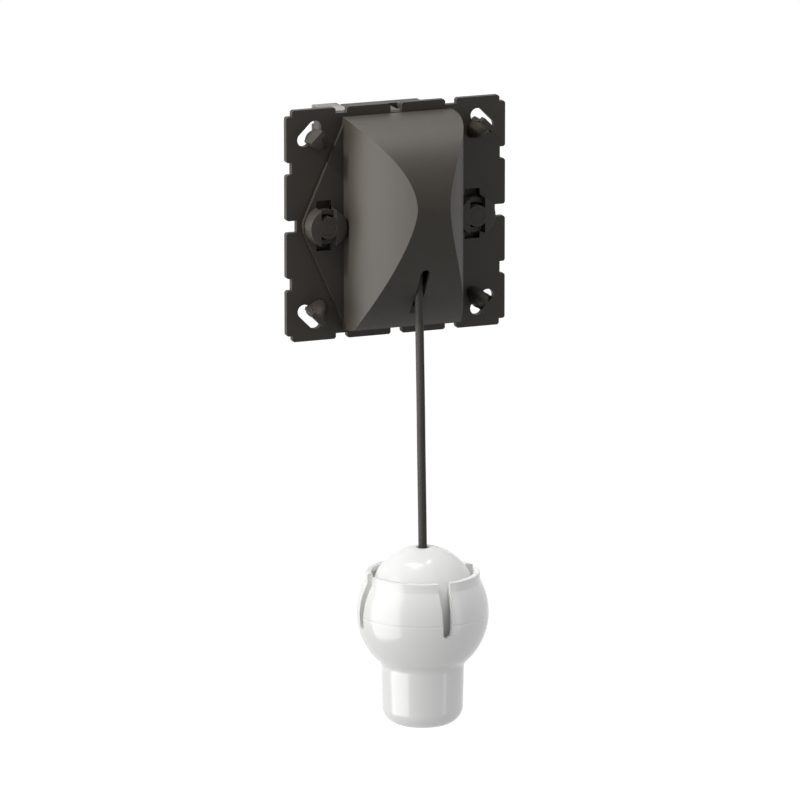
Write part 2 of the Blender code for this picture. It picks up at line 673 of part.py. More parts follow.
def hood_cover(mat):
    """The hollow hood with its flange and side bosses, all trimmed to one flat base."""
    y = -(PLATE_THICK + BASE_H)
    thick = FLANGE_THICK + TRIM / 2
    place = Matrix.Translation((0, y - FLANGE_THICK + thick / 2, 0)) @ TO_FRONT
    flange = slab("flange", [flange_outline()], thick / 2, place)
    joins = [flange, boss(-1), boss(1)]
    base = block("hood_trim", (-PLATE_SIDE, y, -PLATE_SIDE), (PLATE_SIDE, y + BEYOND, PLATE_SIDE))
    cuts = [base, hood_blank("hood_cavity", HOOD_WALL, -BEYOND)] + cord_slot()
    for sx in (-1, 1):
        cuts.append(boss_pockets(sx))
        cuts.append(rod("pin_hole", HOOD_PIN_RADIUS + GAP, (sx * BOSS_X, y + BEYOND, 0),
                        (sx * BOSS_X, y - BOSS_HEIGHT + HOOD_PIN_COVER, 0)))
    return part("hood_cover", hood_blank("hood", 0.0, -TRIM * 1.5), mat, joins, cuts)


def hood_pins(mat):
    """Two headed pins pushed through the plate into the bosses."""
    length = PLATE_THICK + BASE_H + BOSS_HEIGHT - HOOD_PIN_COVER - GAP
    head, wide = HOOD_PIN_HEAD, HOOD_PIN_HEAD_RADIUS
    profile = [(0, length), (HOOD_PIN_RADIUS, length), (HOOD_PIN_RADIUS, head), (wide, head)]
    profile += [(wide, 0), (0, 0)]
    for name, sx in (("left", -1), ("right", 1)):
        place = Matrix.Translation((sx * BOSS_X, 0, 0)) @ TO_FRONT
        part("hood_pin_" + name, turned("pin", profile, place), mat)


# Housing behind the plate

def strip_ribs(sx):
    """Where the housing and its cover hold a contact strip, as (low z, high z)."""
    if sx < 0:
        return -BRIDGE_WIDTH / 2, BRIDGE_WIDTH / 2
    low = PLUNGER_Z + BRIDGE_WIDTH / 2 + GAP
    return low, low + STRIP_THICK * 2


def release_cutout(name, sign, front, back, side):
    """The corner that a release lever slides in, out to a distance from the middle."""
    left, right = sorted((-sign * (RELEASE_X - RELEASE_WIDTH / 2 - GAP), -sign * side))
    inner, outer = RELEASE_Z - RELEASE_HEIGHT / 2 - GAP, HOUSING_HEIGHT / 2 + BEYOND
    low, high = sorted((sign * inner, sign * outer))
    return block(name, (left, front, low), (right, back, high))


def ear(sx, root):
    """A round-ended ear on the housing's front for the crank's pin."""
    outline = [(-root, PIVOT_Z + EAR_RADIUS), (-root, PIVOT_Z - EAR_RADIUS)]
    outline += arc(-PIVOT_Y, PIVOT_Z, EAR_RADIUS, -90, 90, ROUND_STEPS // 2)
    middle = sx * (HUB_WIDTH / 2 + GAP + EAR_THICK / 2)
    return slab("ear", [outline], EAR_THICK / 2, Matrix.Translation((middle, 0, 0)) @ PROFILE_VIEW)


def screw_post(sx, root):
    """A square post in the housing's corner for a cover screw, rooted in both walls."""
    half, wall = SCREW_BOSS / 2, HOUSING_WALL / 2
    left, right = sorted((sx * (SCREW_X - half), sx * (HOUSING_WIDTH / 2 - wall)))
    low, high = sorted((sx * (SCREW_Z - half), sx * (HOUSING_HEIGHT / 2 - wall)))
    return block("screw_post", (left, root, low), (right, HOUSING_BACK, high))


def switch_housing(mat):
    """An open-backed box with ears for the crank's pin, screw posts and ribs for the strips."""
    w, h, front = HOUSING_WIDTH / 2, HOUSING_HEIGHT / 2, -PLATE_THICK
    shell = block("housing_blank", (-w, front, -h), (w, HOUSING_BACK, h))
    hollow = block("housing_hollow", (-HOUSING_INNER_X, WALL_BACK, -HOUSING_INNER_Z),
                   (HOUSING_INNER_X, HOUSING_BACK + BEYOND, HOUSING_INNER_Z))
    shape_by(shell, "DIFFERENCE", hollow)
    joins, cuts = [], []
    root = front + HOUSING_WALL / 2
    for sx in (-1, 1):
        joins.append(ear(sx, root))
        near, far = sorted((sx * (w - HOUSING_WALL / 2), sx * (w + LUG_REACH)))
        joins.append(block("lug", (near, LUG_OFFSET, -LUG_LENGTH / 2),
                           (far, LUG_OFFSET + LUG_DEPTH, LUG_LENGTH / 2)))
        low, high = strip_ribs(sx)
        x = sx * CONTACT_X
        joins.append(block("strip_rib", (x - RIB_HALF_WIDTH, root, low),
                           (x + RIB_HALF_WIDTH, STRIP_FRONT - GAP, high)))
        joins.append(screw_post(sx, root))
        x, z = sx * SCREW_X, sx * SCREW_Z
        end = COVER_BACK - SCREW_LENGTH - GAP
        cuts.append(rod("screw_hole", SCREW_RADIUS + GAP, (x, end, z), (x, COVER_BACK, z)))
        end = RELEASE_BACK - RELEASE_LENGTH - RELEASE_TRAVEL - GAP
        side = RELEASE_X + RELEASE_WIDTH / 2 + GAP
        cuts.append(release_cutout("release_cutout", -sx, end, HOUSING_BACK + BEYOND, side))
    reach = HUB_WIDTH / 2 + EAR_THICK + BEYOND
    ends = [(-reach, PIVOT_Y, PIVOT_Z), (reach, PIVOT_Y, PIVOT_Z)]
    cuts.append(rod("pin_bore", LEVER_PIN_RADIUS + GAP, *ends))
    half = PLUNGER_SIDE / 2 + GAP
    cuts.append(block("plunger_guide", (-half, front - GAP, PLUNGER_Z - half),
                      (half, WALL_BACK + GAP, PLUNGER_Z + half)))
    wide, long = WINDOW_WIDTH / 2, WINDOW_LENGTH / 2
    cuts.append(block("top_window", (WINDOW_X - wide, WINDOW_Y - long, HOUSING_INNER_Z - GAP),
                      (WINDOW_X + wide, WINDOW_Y + long, h + GAP)))
    return part("switch_housing", shell, mat, joins, cuts)


def rear_cover(mat):
    """The flat back with its spring peg, strip ribs, wire holes and corner cutouts."""
    w, h = HOUSING_WIDTH / 2, HOUSING_HEIGHT / 2
    middle = (COVER_FRONT + COVER_BACK) / 2
    cover = block("cover_blank", (-w, COVER_FRONT, -h), (w, COVER_BACK, h))
    peg = [(0, COVER_FRONT - SPRING_PEG_LENGTH, PLUNGER_Z), (0, middle, PLUNGER_Z)]
    joins, cuts = [rod("spring_peg", SPRING_PEG_RADIUS, *peg)], []
    for sx in (-1, 1):
        low, high = strip_ribs(sx)
        x = sx * CONTACT_X
        joins.append(block("cover_rib", (x - RIB_HALF_WIDTH, STRIP_BACK + GAP, low),
                           (x + RIB_HALF_WIDTH, middle, high)))
        x, z = sx * SCREW_X, sx * SCREW_Z
        cuts.append(rod("screw_way", SCREW_RADIUS + GAP, (x, 0, z), (x, COVER_BACK + BEYOND, z)))
        x, z = sx * WIRE_X, -sx * TERMINAL_Z
        cuts.append(rod("wire_hole", WIRE_HOLE_RADIUS, (x, COVER_FRONT - GAP, z), (x, COVER_BACK + GAP, z)))
        cuts.append(release_cutout("cover_cutout", -sx, 0, COVER_BACK + BEYOND, w + BEYOND))
    return part("rear_cover", cover, mat, joins, cuts)


def cover_screws(mat):
    """Two cross-headed screws through the cover into the housing's posts."""
    seat, head, wide = GAP, GAP + SCREW_HEAD, SCREW_HEAD_RADIUS
    profile = [(0, head), (wide - GAP, head), (wide, head - GAP), (wide, seat)]
    profile += [(SCREW_RADIUS, seat), (SCREW_RADIUS, -SCREW_LENGTH), (0, -SCREW_LENGTH)]
    for name, sx in (("lower", -1), ("upper", 1)):
        place = Matrix.Translation((sx * SCREW_X, COVER_BACK, sx * SCREW_Z)) @ TO_BACK
        screw = turned("screw", profile, place)
        arm, width = SCREW_CROSS, SCREW_RECESS / 2
        low, high = head - SCREW_RECESS, head + BEYOND
        across = block("recess", (-arm, -width, low), (arm, width, high), place)
        shape_by(across, "UNION", block("recess", (-width, -arm, low), (width, arm, high), place))
        part("cover_screw_" + name, screw, mat, cuts=[across])


# Crank and cord anchor

def cord_lever(mat):
    """The bell crank, drawn with its fork level and its push arm down, then tipped up to rest."""
    reach, low = LEVER_ARM + LEVER_TIP, -LEVER_ARM_DEPTH
    half, edge = PUSH_ARM_WIDTH / 2, PAD_RADIUS
    side = math.degrees(math.acos(half / PAD_RADIUS))
    outline = [(0, HUB_RADIUS), (-half, 0)]
    outline += arc(0, -PUSH_ARM, PAD_RADIUS, 180 - side, 360 + side, 12)
    outline += [(half, low - edge), (HUB_RADIUS, low), (reach - edge, low), (reach, low + edge)]
    outline += [(reach, 0), (LEVER_ARM - NIPPLE_RADIUS * 2, 0), (HUB_RADIUS, half)]
    place = Matrix.Translation((0, PIVOT_Y, PIVOT_Z)) @ Matrix.Rotation(-LEVER_HALF_SWING, 4, "X")
    lever = slab("lever_blank", [outline], LEVER_WIDTH / 2, place @ PROFILE_VIEW)

    def across(name, radius, width, forward):
        """A round bar along the crank's own X axis."""
        bar = rod(name, radius, (-width / 2, -forward, 0), (width / 2, -forward, 0))
        bar.matrix_world = place @ bar.matrix_world
        return bar

    hub = across("hub", HUB_RADIUS, HUB_WIDTH, 0)
    bore = across("hub_bore", LEVER_PIN_RADIUS + GAP, HUB_WIDTH + BEYOND, 0)
    cradle = across("cradle", NIPPLE_RADIUS + GAP, LEVER_WIDTH + BEYOND, LEVER_ARM)
    channel_back = LEVER_ARM - LEVER_CHANNEL
    channel = block("channel", (-LEVER_CHANNEL / 2, -reach - BEYOND, low - BEYOND),
                    (LEVER_CHANNEL / 2, -channel_back, BEYOND), place)
    return part("cord_lever", lever, mat, [hub], [bore, cradle, channel])


def lever_pin(mat):
    """A headed steel pin through both ears and the crank's hub."""
    reach = HUB_WIDTH / 2 + GAP + EAR_THICK
    head = reach + GAP
    top = head + LEVER_PIN_RADIUS / 2
    profile = [(0, top), (LEVER_PIN_HEAD, top), (LEVER_PIN_HEAD, head), (LEVER_PIN_RADIUS, head)]
    profile += [(LEVER_PIN_RADIUS, -reach), (0, -reach)]
    place = Matrix.Translation((0, PIVOT_Y, PIVOT_Z)) @ TO_SIDE
    return part("lever_pin", turned("lever_pin_blank", profile, place), mat)


def cord_nipple(mat):
    """The barrel on the cord's end, lying in the crank's fork."""
    half, edge = NIPPLE_LENGTH / 2, GAP
    profile = [(0, half), (NIPPLE_RADIUS - edge, half), (NIPPLE_RADIUS, half - edge)]
    profile += [(NIPPLE_RADIUS, edge - half), (NIPPLE_RADIUS - edge, -half), (0, -half)]
    place = Matrix.Translation((0, ANCHOR_Y, ANCHOR_Z)) @ TO_SIDE
    return part("cord_nipple", turned("nipple_blank", profile, place), mat)


# Plunger and contacts

def plunger(mat):
    """A square push rod with a stop behind the wall and a round neck for the bridge."""
    half, stop = PLUNGER_SIDE / 2, PLUNGER_STOP / 2
    shoulder, tail = BRIDGE_Y - GAP, BRIDGE_BACK + PLUNGER_TAIL
    body = block("plunger_blank", (-half, PLUNGER_FRONT, PLUNGER_Z - half),
                 (half, shoulder, PLUNGER_Z + half))
    hang_at(body, (0, PLUNGER_FRONT, PLUNGER_Z))
    stop_front = WALL_BACK + GAP
    flange = block("plunger_stop", (-stop, stop_front, PLUNGER_Z - stop),
                   (stop, stop_front + PLUNGER_STOP_THICK, PLUNGER_Z + stop))
    neck = rod("plunger_neck", PLUNGER_NECK, (0, shoulder - half, PLUNGER_Z), (0, tail, PLUNGER_Z))
    return part("plunger", body, mat, [flange, neck])


def contact_bridge(mat):
    """The bar that joins the two fixed contacts."""
    half, wide = BRIDGE_LENGTH / 2, BRIDGE_WIDTH / 2
    outline = [(-half, -wide), (half, -wide), (half, wide), (-half, wide)]
    loops = [outline, circle(0, 0, PLUNGER_NECK + GAP)]
    loops += [circle(sx * CONTACT_X, 0, RIVET_SHANK + GAP, HOLE_STEPS) for sx in (-1, 1)]
    place = Matrix.Translation((0, (BRIDGE_Y + BRIDGE_BACK) / 2, PLUNGER_Z)) @ TO_FRONT
    return part("contact_bridge", slab("bridge_blank", loops, BRIDGE_THICK / 2, place), mat)


def rivet(name, tip_y, back_y, facing, sx, mat):
    """A contact rivet: a broad head at tip_y and a small tail behind the strip at back_y."""
    length = abs(back_y - tip_y)
    profile = [(0, 0), (RIVET_RADIUS - GAP, 0), (RIVET_RADIUS, -GAP), (RIVET_RADIUS, -RIVET_HEAD)]
    profile += [(RIVET_SHANK, -RIVET_HEAD), (RIVET_SHANK, RIVET_TAIL - length)]
    profile += [(RIVET_TAIL_RADIUS, RIVET_TAIL - length), (RIVET_TAIL_RADIUS, -length), (0, -length)]
    place = Matrix.Translation((sx * CONTACT_X, tip_y, PLUNGER_Z)) @ facing
    return part(name, turned(name, profile, place, RIVET_STEPS), mat)


def fixed_contact(name, sx, far_z, mat):
    """A flat strip behind its rivet with a tongue bent back beside the wire."""
    side = -sx
    outer, inner = sx * (CONTACT_X + STRIP_WIDTH / 2), sx * TONGUE_X
    end = side * (TERMINAL_Z - CLAMP_HEIGHT / 2 - GAP)
    low, high = sorted((far_z, end))
    left, right = sorted((outer, inner))
    strip = block(name, (left, STRIP_FRONT, low), (right, STRIP_BACK, high))
    left, right = sorted((inner, inner + sx * STRIP_THICK))
    low, high = sorted((end - side * STRIP_WIDTH, side * (TERMINAL_Z + TONGUE_RISE)))
    tongue = block("tongue", (left, STRIP_FRONT, low), (right, COVER_FRONT - TONGUE_SETBACK, high))
    x, z = sx * CONTACT_X, PLUNGER_Z
    ends = [(x, STRIP_FRONT - GAP, z), (x, STRIP_BACK + GAP, z)]
    hole = rod("rivet_hole", RIVET_SHANK + GAP, *ends, HOLE_STEPS)
    return part(name, strip, mat, [tongue], [hole])


def return_spring(mat):
    """A coil spring between the bridge and the rear cover."""
    start, end = BRIDGE_BACK + GAP + SPRING_WIRE, COVER_FRONT - GAP - SPRING_WIRE
    count = SPRING_TURNS * SPRING_STEPS
    points = []
    for i in range(count + 1):
        a = 2 * math.pi * i / SPRING_STEPS
        y = start + (end - start) * i / count
        points.append((SPRING_RADIUS * math.cos(a), y, PLUNGER_Z + SPRING_RADIUS * math.sin(a)))
    return part("return_spring", tube("spring_wire", points, SPRING_WIRE), mat)


# Push-in terminals

def clamp_spring(name, sign, mat):
    """A bent leaf along the housing wall whose free end presses a wire on the tongue."""
    path = [(CLAMP_WALL, STRIP_FRONT - STRIP_WIDTH / 2), (CLAMP_WALL, CLAMP_BACK)]
    path += [(CLAMP_WALL - CLAMP_BEND, CLAMP_BACK + CLAMP_BEND / 2), (CLAMP_TIP, STRIP_FRONT)]
    outline = ribbon([(-sign * x, y) for x, y in path], CLAMP_THICK)
    place = Matrix.Translation((0, 0, sign * TERMINAL_Z))
    return part(name, slab(name, [outline], CLAMP_HEIGHT / 2, place), mat)


def clamp_line(x):
    """How far back the clamp's free leaf lies at a distance from the middle."""
    share = (x - CLAMP_TIP) / (CLAMP_WALL - CLAMP_BEND - CLAMP_TIP)
    return STRIP_FRONT + (CLAMP_BACK + CLAMP_BEND / 2 - STRIP_FRONT) * share


def release_lever(name, sign, mat):
    """A ribbed push tab at the back corner with a foot that opens the clamp."""
    x, z = -sign * RELEASE_X, sign * RELEASE_Z
    half, rise = RELEASE_WIDTH / 2, RELEASE_HEIGHT / 2
    front = RELEASE_BACK - RELEASE_LENGTH
    head = block(name, (x - half, front, z - rise), (x + half, RELEASE_BACK, z + rise))
    hang_at(head, (x, RELEASE_BACK, z))
    foot_half = RELEASE_FOOT_WIDTH / 2
    foot_front = clamp_line(RELEASE_FOOT_X + foot_half) + CLAMP_THICK + GAP
    low, high = sorted((sign * (TERMINAL_Z + WIRE_HOLE_RADIUS + GAP), z))
    foot = block("release_foot", (-sign * RELEASE_FOOT_X - foot_half, foot_front, low),
                 (-sign * RELEASE_FOOT_X + foot_half, COVER_FRONT - GAP, high))
    cuts = []
    outer = sign * HOUSING_HEIGHT / 2
    low, high = sorted((outer - sign * GROOVE_DEPTH, outer + sign * BEYOND))
    for i in range(GROOVE_COUNT):
        y = RELEASE_BACK - GROOVE_START - GROOVE_PITCH * i
        cuts.append(block("grip_groove", (x - half - GAP, y - GROOVE_WIDTH, low), (x + half + GAP, y, high)))
    return part(name, head, mat, [foot], cuts)


# Cord and knob

def cord_route():
    """Points that the cord passes, from below its anchor to inside the knob's dome."""
    start, bend, end = (Vector(p) for p in ((0, ANCHOR_Y, CORD_START_Z), CORD_BEND, (0, KNOB_Y, CORD_END_Z)))
    hanging = [bend.lerp(end, share) - Vector((0, bow, 0)) for share, bow in CORD_BOW]
    return [start, start.lerp(bend, 0.5), bend, *hanging, end]


def smooth_run(points, spacing):
    """Points at an even spacing on a smooth curve through a route."""
    route = [points[0] * 2 - points[1], *points, points[-1] * 2 - points[-2]]
    run = []
    for a, b, c, d in zip(route, route[1:], route[2:], route[3:]):
        steps = max(1, round((c - b).length / spacing))
        for i in range(steps):
            t = i / steps
            run.append((b * 2 + (c - a) * t + (a * 2 - b * 5 + c * 4 - d) * t ** 2
                        + (b * 3 - a - c * 3 + d) * t ** 3) / 2)
    return run + [route[-2]]


def at_level(run, z):
    """The point where a run of points crosses a level."""
    for a, b in zip(run, run[1:]):
        if a.z >= z >= b.z:
            return a.lerp(b, (a.z - z) / (a.z - b.z))
    return run[-1]


def cords(mat):
    """The cord in two lengths: inside the hood, and hanging from the slot's lip into the knob."""
    run = smooth_run(cord_route(), CORD_SPACING)
    upper_end, lower_start = CORD_BEND[2] + CORD_JOINT_GAP / 2, CORD_BEND[2] - CORD_JOINT_GAP / 2
    upper = [p for p in run if p.z > upper_end + CORD_RADIUS] + [at_level(run, upper_end)]
    lower = [at_level(run, lower_start)] + [p for p in run if p.z < lower_start - CORD_RADIUS]
    part("cord_upper", hang_at(tube("cord_inside", upper, CORD_RADIUS), (0, ANCHOR_Y, ANCHOR_Z)), mat)
    part("pull_cord", hang_at(tube("cord_outside", lower, CORD_RADIUS), CORD_BEND), mat)


def knob_place():
    return Matrix.Translation((0, KNOB_Y, KNOB_Z))


def cup_profile():
    """The knob's outer cup, from its inner floor up to the rim and down its outside."""
    inner = BULB_RADIUS - KNOB_WALL
    rim_inner = RIM_RADIUS - KNOB_WALL
    floor = FOOT_Z + STEM_FLOOR
    points = [(0, floor), (STEM_BORE, floor), (STEM_BORE, LEDGE_Z)]
    start = math.degrees(math.asin(LEDGE_Z / inner))
    points += arc(0, 0, inner, start, math.degrees(math.acos(rim_inner / inner)), 8)
    points += [(rim_inner, RIM_Z), (RIM_RADIUS, RIM_Z)]
    fillet_x = STEM_RADIUS + NECK_FILLET
    fillet_z = -math.sqrt((BULB_RADIUS + NECK_FILLET) ** 2 - fillet_x ** 2)
    slope = math.degrees(math.atan2(-fillet_z, fillet_x))
    points += arc(0, 0, BULB_RADIUS, math.degrees(math.acos(RIM_RADIUS / BULB_RADIUS)), -slope, 14)
    points += arc(fillet_x, fillet_z, NECK_FILLET, 180 - slope, 180, 4)[1:]
    points += arc(STEM_FOOT_RADIUS - FOOT_ROUND, FOOT_Z + FOOT_ROUND, FOOT_ROUND, 0, -90, 6)
    return points + [(0, FOOT_Z)]


def knob_cup(mat):
    """The round outer cup, slit into four petals at its mouth."""
    cup = turned("cup_blank", cup_profile(), knob_place(), KNOB_STEPS)
    half, foot = PETAL_SLOT_WIDTH / 2, PETAL_SLOT_FOOT / 2
    outline = [(half, RIM_Z + GAP), (-half, RIM_Z + GAP)]
    outline += arc(0, PETAL_SLOT_Z + foot, foot, 180, 360, 8)
    middle = (STEM_RADIUS + BULB_RADIUS + BEYOND) / 2
    reach = middle - STEM_RADIUS
    cuts = []
    out = Matrix.Translation((0, -middle, 0)) @ TO_FRONT
    for i in range(4):
        turn = Matrix.Rotation(math.pi / 2 * i, 4, "Z")
        cuts.append(slab("petal_slot", [outline], reach, knob_place() @ turn @ out))
    return part("knob_cup", cup, mat, cuts=cuts)


def knob_dome(mat):
    """The domed insert inside the cup, with the cord's hole in its flat top."""
    inner = DOME_RADIUS - KNOB_WALL
    foot = LEDGE_Z + GAP
    flat = math.degrees(math.acos(DOME_FLAT_RADIUS / DOME_RADIUS))
    hole = math.degrees(math.acos(CORD_HOLE_RADIUS / inner))
    top = DOME_RISE + DOME_RADIUS * math.sin(math.radians(flat))
    points = [(CORD_HOLE_RADIUS, top)] + arc(0, DOME_RISE, DOME_RADIUS, flat, 0, 9)
    points += [(DOME_SKIRT_RADIUS, foot), (DOME_SKIRT_RADIUS - KNOB_WALL, foot)]
    points += arc(0, DOME_RISE, inner, 0, hole, 9)
    dome = turned("dome_blank", points, knob_place(), KNOB_STEPS, closed=True)
    return part("knob_dome", dome, mat)


def cord_knot(mat):
    """The knot that keeps the cord's end inside the dome."""
    bm = bmesh.new()
    bmesh.ops.create_uvsphere(bm, u_segments=16, v_segments=10, radius=KNOT_RADIUS)
    mesh = bpy.data.meshes.new("knot")
    bm.to_mesh(mesh)
    bm.free()
    place = Matrix.Translation((0, KNOB_Y, CORD_END_Z - GAP - KNOT_RADIUS))
    return part("cord_knot", hang_at(tool("knot", mesh, place), CORD_BEND), mat)


def main():
    clear_scene()
    dark = finish("dark_plastic", (0.045, 0.042, 0.038), 0.55)
    body = finish("housing_plastic", (0.060, 0.056, 0.052), 0.55)
    grey = finish("light_grey_plastic", (0.42, 0.41, 0.40), 0.5)
    white = finish("white_plastic", (0.80, 0.80, 0.79), 0.15)
    cord = finish("cord_rubber", (0.052, 0.048, 0.040), 0.6)
    nylon = finish("natural_nylon", (0.62, 0.60, 0.54), 0.5)
    steel = finish("zinc_steel", (0.62, 0.62, 0.60), 0.35, 1.0)
    brass = finish("contact_brass", (0.72, 0.52, 0.24), 0.35, 1.0)
    silver = finish("contact_silver", (0.80, 0.79, 0.76), 0.3, 1.0)

    mounting_frame(dark)
    hood_cover(dark)
    hood_pins(steel)
    switch_housing(body)
    rear_cover(body)
    cover_screws(steel)

    cord_lever(nylon)
    lever_pin(steel)
    cord_nipple(brass)

    plunger(nylon)
    contact_bridge(brass)
    return_spring(steel)
    fixed_contact("fixed_contact_left", -1, PLUNGER_Z - STRIP_WIDTH / 2, brass)
    fixed_contact("fixed_contact_right", 1, strip_ribs(1)[1] + GAP, brass)
    for side, sx in (("left", -1), ("right", 1)):
        rivet("bridge_contact_" + side, BRIDGE_TIP, BRIDGE_Y - GAP - RIVET_TAIL, TO_BACK, sx, silver)
        rivet("fixed_point_" + side, FIXED_TIP, STRIP_BACK + GAP + RIVET_TAIL, TO_FRONT, sx, silver)
    for level, sign in (("upper", 1), ("lower", -1)):
        clamp_spring("clamp_spring_" + level, sign, steel)
        release_lever("release_lever_" + level, sign, grey)

    cords(cord)
    knob_cup(white)
    knob_dome(white)
    cord_knot(cord)


main()
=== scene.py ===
"""Pull cord switch: finished surfaces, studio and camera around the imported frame."""

import json
import math

import bmesh
import bpy
from bpy.props import FloatProperty, FloatVectorProperty, IntProperty, PointerProperty
from mathutils import Matrix, Vector


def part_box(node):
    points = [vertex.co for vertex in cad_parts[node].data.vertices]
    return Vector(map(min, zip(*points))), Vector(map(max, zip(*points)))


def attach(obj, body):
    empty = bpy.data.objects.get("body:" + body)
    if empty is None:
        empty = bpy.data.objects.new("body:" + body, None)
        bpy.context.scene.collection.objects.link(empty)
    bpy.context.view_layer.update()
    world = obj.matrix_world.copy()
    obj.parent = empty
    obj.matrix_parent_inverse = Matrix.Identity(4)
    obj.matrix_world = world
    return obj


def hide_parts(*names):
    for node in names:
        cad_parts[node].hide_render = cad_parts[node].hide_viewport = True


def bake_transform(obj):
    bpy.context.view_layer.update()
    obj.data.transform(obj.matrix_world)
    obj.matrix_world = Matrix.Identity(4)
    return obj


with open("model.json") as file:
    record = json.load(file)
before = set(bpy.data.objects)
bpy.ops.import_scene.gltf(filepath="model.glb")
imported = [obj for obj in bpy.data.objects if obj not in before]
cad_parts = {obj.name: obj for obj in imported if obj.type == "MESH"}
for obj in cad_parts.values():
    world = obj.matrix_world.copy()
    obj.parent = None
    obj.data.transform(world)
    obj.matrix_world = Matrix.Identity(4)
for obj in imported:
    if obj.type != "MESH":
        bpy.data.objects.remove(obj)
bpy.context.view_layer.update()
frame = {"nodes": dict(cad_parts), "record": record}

bl_info = {
    "name": "Pull Cord Switch",
    "version": (1, 0, 0),
    "blender": (4, 5, 0),
    "location": "3D View > Sidebar > Pull Cord Switch",
    "description": "Finishes a flush wall pull cord switch around its packed frame",
    "category": "Object",
}

MM = 0.001
PLATE_LOW, PLATE_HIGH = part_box("mounting_frame")
HOUSING_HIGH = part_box("switch_housing")[1]
CUP_LOW, CUP_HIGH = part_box("knob_cup")

# Points closer than this are one point
MERGE = 0.001 * MM
# Cutters run past the surface that they cut: their reach, as a multiple of its distance
CORD_SLOT_OVERSHOOT = 1.4
SLIT_OVERSHOOT = 1.3
# How far below the hood's base its hollow is cut, in walls
HOLLOW_BELOW = 4
# How closely the end of the hood's ramp is found
RAMP_TOLERANCE = 0.00015 * MM
# How far the housing's lugs stand out from its sides
LUG_REACH = 1.3 * MM

# Edges that turn by more than these angles, in degrees, are shaded sharp and can be eased
SHARP_ANGLE = 32.0
CREASE_ANGLE = 24.0
KNOB_ANGLE = 40.0
# Faces of a copied node within this angle are one face
FLAT_ANGLE = 0.5

# The knob's slits, evenly round its mouth
SLIT_COUNT = 4

# Local axes: turned shapes spin about Z, and outlines lie in XY
TO_FRONT = Matrix.Rotation(math.pi / 2, 4, "X")
PROFILE_VIEW = Matrix(((0, 0, -1, 0), (-1, 0, 0, 0), (0, 1, 0, 0), (0, 0, 0, 1)))
FROM_ABOVE = Matrix(((1, 0, 0, 0), (0, -1, 0, 0), (0, 0, -1, 0), (0, 0, 0, 1)))

# The cord's route, from below its barrel to inside the knob's dome
CORD_ROUTE = [
    (0.0, -0.019500, -0.004500),
    (0.0, -0.019925, -0.013500),
    (0.0, -0.020350, -0.022500),
    (0.0, -0.020854, -0.035030),
    (0.0, -0.021599, -0.051990),
    (0.0, -0.022205, -0.070021),
    (0.0, -0.022851, -0.085988),
    (0.0, -0.023300, -0.098900),
]

# Nodes whose CAD shape is kept and eased along its edges: finish and edge radius in mm
EASED_NODES = {
    "switch_housing": ("housing", 0.25),
    "rear_cover": ("housing", 0.25),
    "release_lever_upper": ("tab", 0.2),
    "release_lever_lower": ("tab", 0.2),
    "cord_lever": ("nylon", 0.15),
    "plunger": ("nylon", 0.2),
    "hood_pin_left": ("steel", 0.15),
    "hood_pin_right": ("steel", 0.15),
    "lever_pin": ("steel", 0.15),
    "cover_screw_upper": ("steel", 0.1),
    "cover_screw_lower": ("steel", 0.1),
    "cord_nipple": ("brass", 0.1),
    "contact_bridge": ("brass", 0.1),
    "fixed_contact_left": ("brass", 0.1),
    "fixed_contact_right": ("brass", 0.1),
    "bridge_contact_left": ("silver", 0.08),
    "bridge_contact_right": ("silver", 0.08),
    "fixed_point_left": ("silver", 0.08),
    "fixed_point_right": ("silver", 0.08),
}

# Most of the noise lies between these values
NOISE_LOW, NOISE_HIGH = 0.3, 0.7
# Sockets of a Mix node that is set to colours
MIX_FACTOR, MIX_DARK, MIX_LIGHT, MIX_RESULT = 0, 6, 7, 2

# Specular level of each plastic
PLASTIC_SPECULAR = {"moulding": 0.22, "housing": 0.2, "tab": 0.4, "nylon": 0.4}
METALS = ("steel", "brass", "silver")
# Scale of the strands' wave for a lay of one metre
STRAND_WAVE = 1.2

# The camera, fitted to the plate's corners and notches
CAMERA_SENSOR = 36.0
CAMERA_LENS = 381.5
CAMERA_CLIP_END = 50.0
CAMERA_TARGET = (0.001207, -0.002, -0.0563)
CAMERA_DIRECTION = (-0.3648, -0.9030, 0.2268)
CAMERA_DISTANCE = 2.569

# The floor lies below every view's camera, and glows just enough to be seen as white with shadows on it
FLOOR_Z = -2.7
FLOOR_REACH = 13.0
FLOOR_LIFT = 0.64
WHITE = (1.0, 1.0, 1.0, 1.0)

# Light from all round
AMBIENT = 0.62
AMBIENT_COLOUR = (0.97, 0.98, 1.0, 1.0)

# Soft boxes: name, place, width and height in metres, and watts
SOFT_BOX_TARGET = (0.0, -0.02, -0.06)
SOFT_BOXES = (
    ("key_left", (-1.20, 0.02, -0.05), 1.35, 1.85, 9.5),
    ("top", (-0.05, 0.22, 1.10), 0.75, 0.60, 6.5),
)
# Bright faces just before the soft boxes, and one at the right, seen in reflections alone
REFLECTED_BOXES = (
    ("key_left_face", (-1.18, 0.02, -0.05), 1.35, 1.85, 46.0),
    ("top_face", (-0.05, 0.22, 1.08), 0.75, 0.60, 14.0),
    ("fill_right_face", (0.86, -0.95, -0.10), 0.22, 1.20, 2.6),
)

# A narrow lamp on the hood's brow, which no surface mirrors
SPOT_PLACE = (-0.84, -0.11, 0.85)
SPOT_TARGET = (0.0, -0.015, 0.0)
SPOT_WATTS = 140.0
SPOT_ANGLE = 5.2
SPOT_BLEND = 0.5
SPOT_SOFTNESS = 0.05


def length(name, description, millimetres):
    """A size that a user can set, given in millimetres."""
    return FloatProperty(name=name, description=description, default=millimetres * MM,
                         min=0.0, unit="LENGTH", precision=5)


def colour(name, description, value):
    """A colour that a user can set."""
    return FloatVectorProperty(name=name, description=description, default=value, size=3,
                               min=0.0, max=1.0, subtype="COLOR")


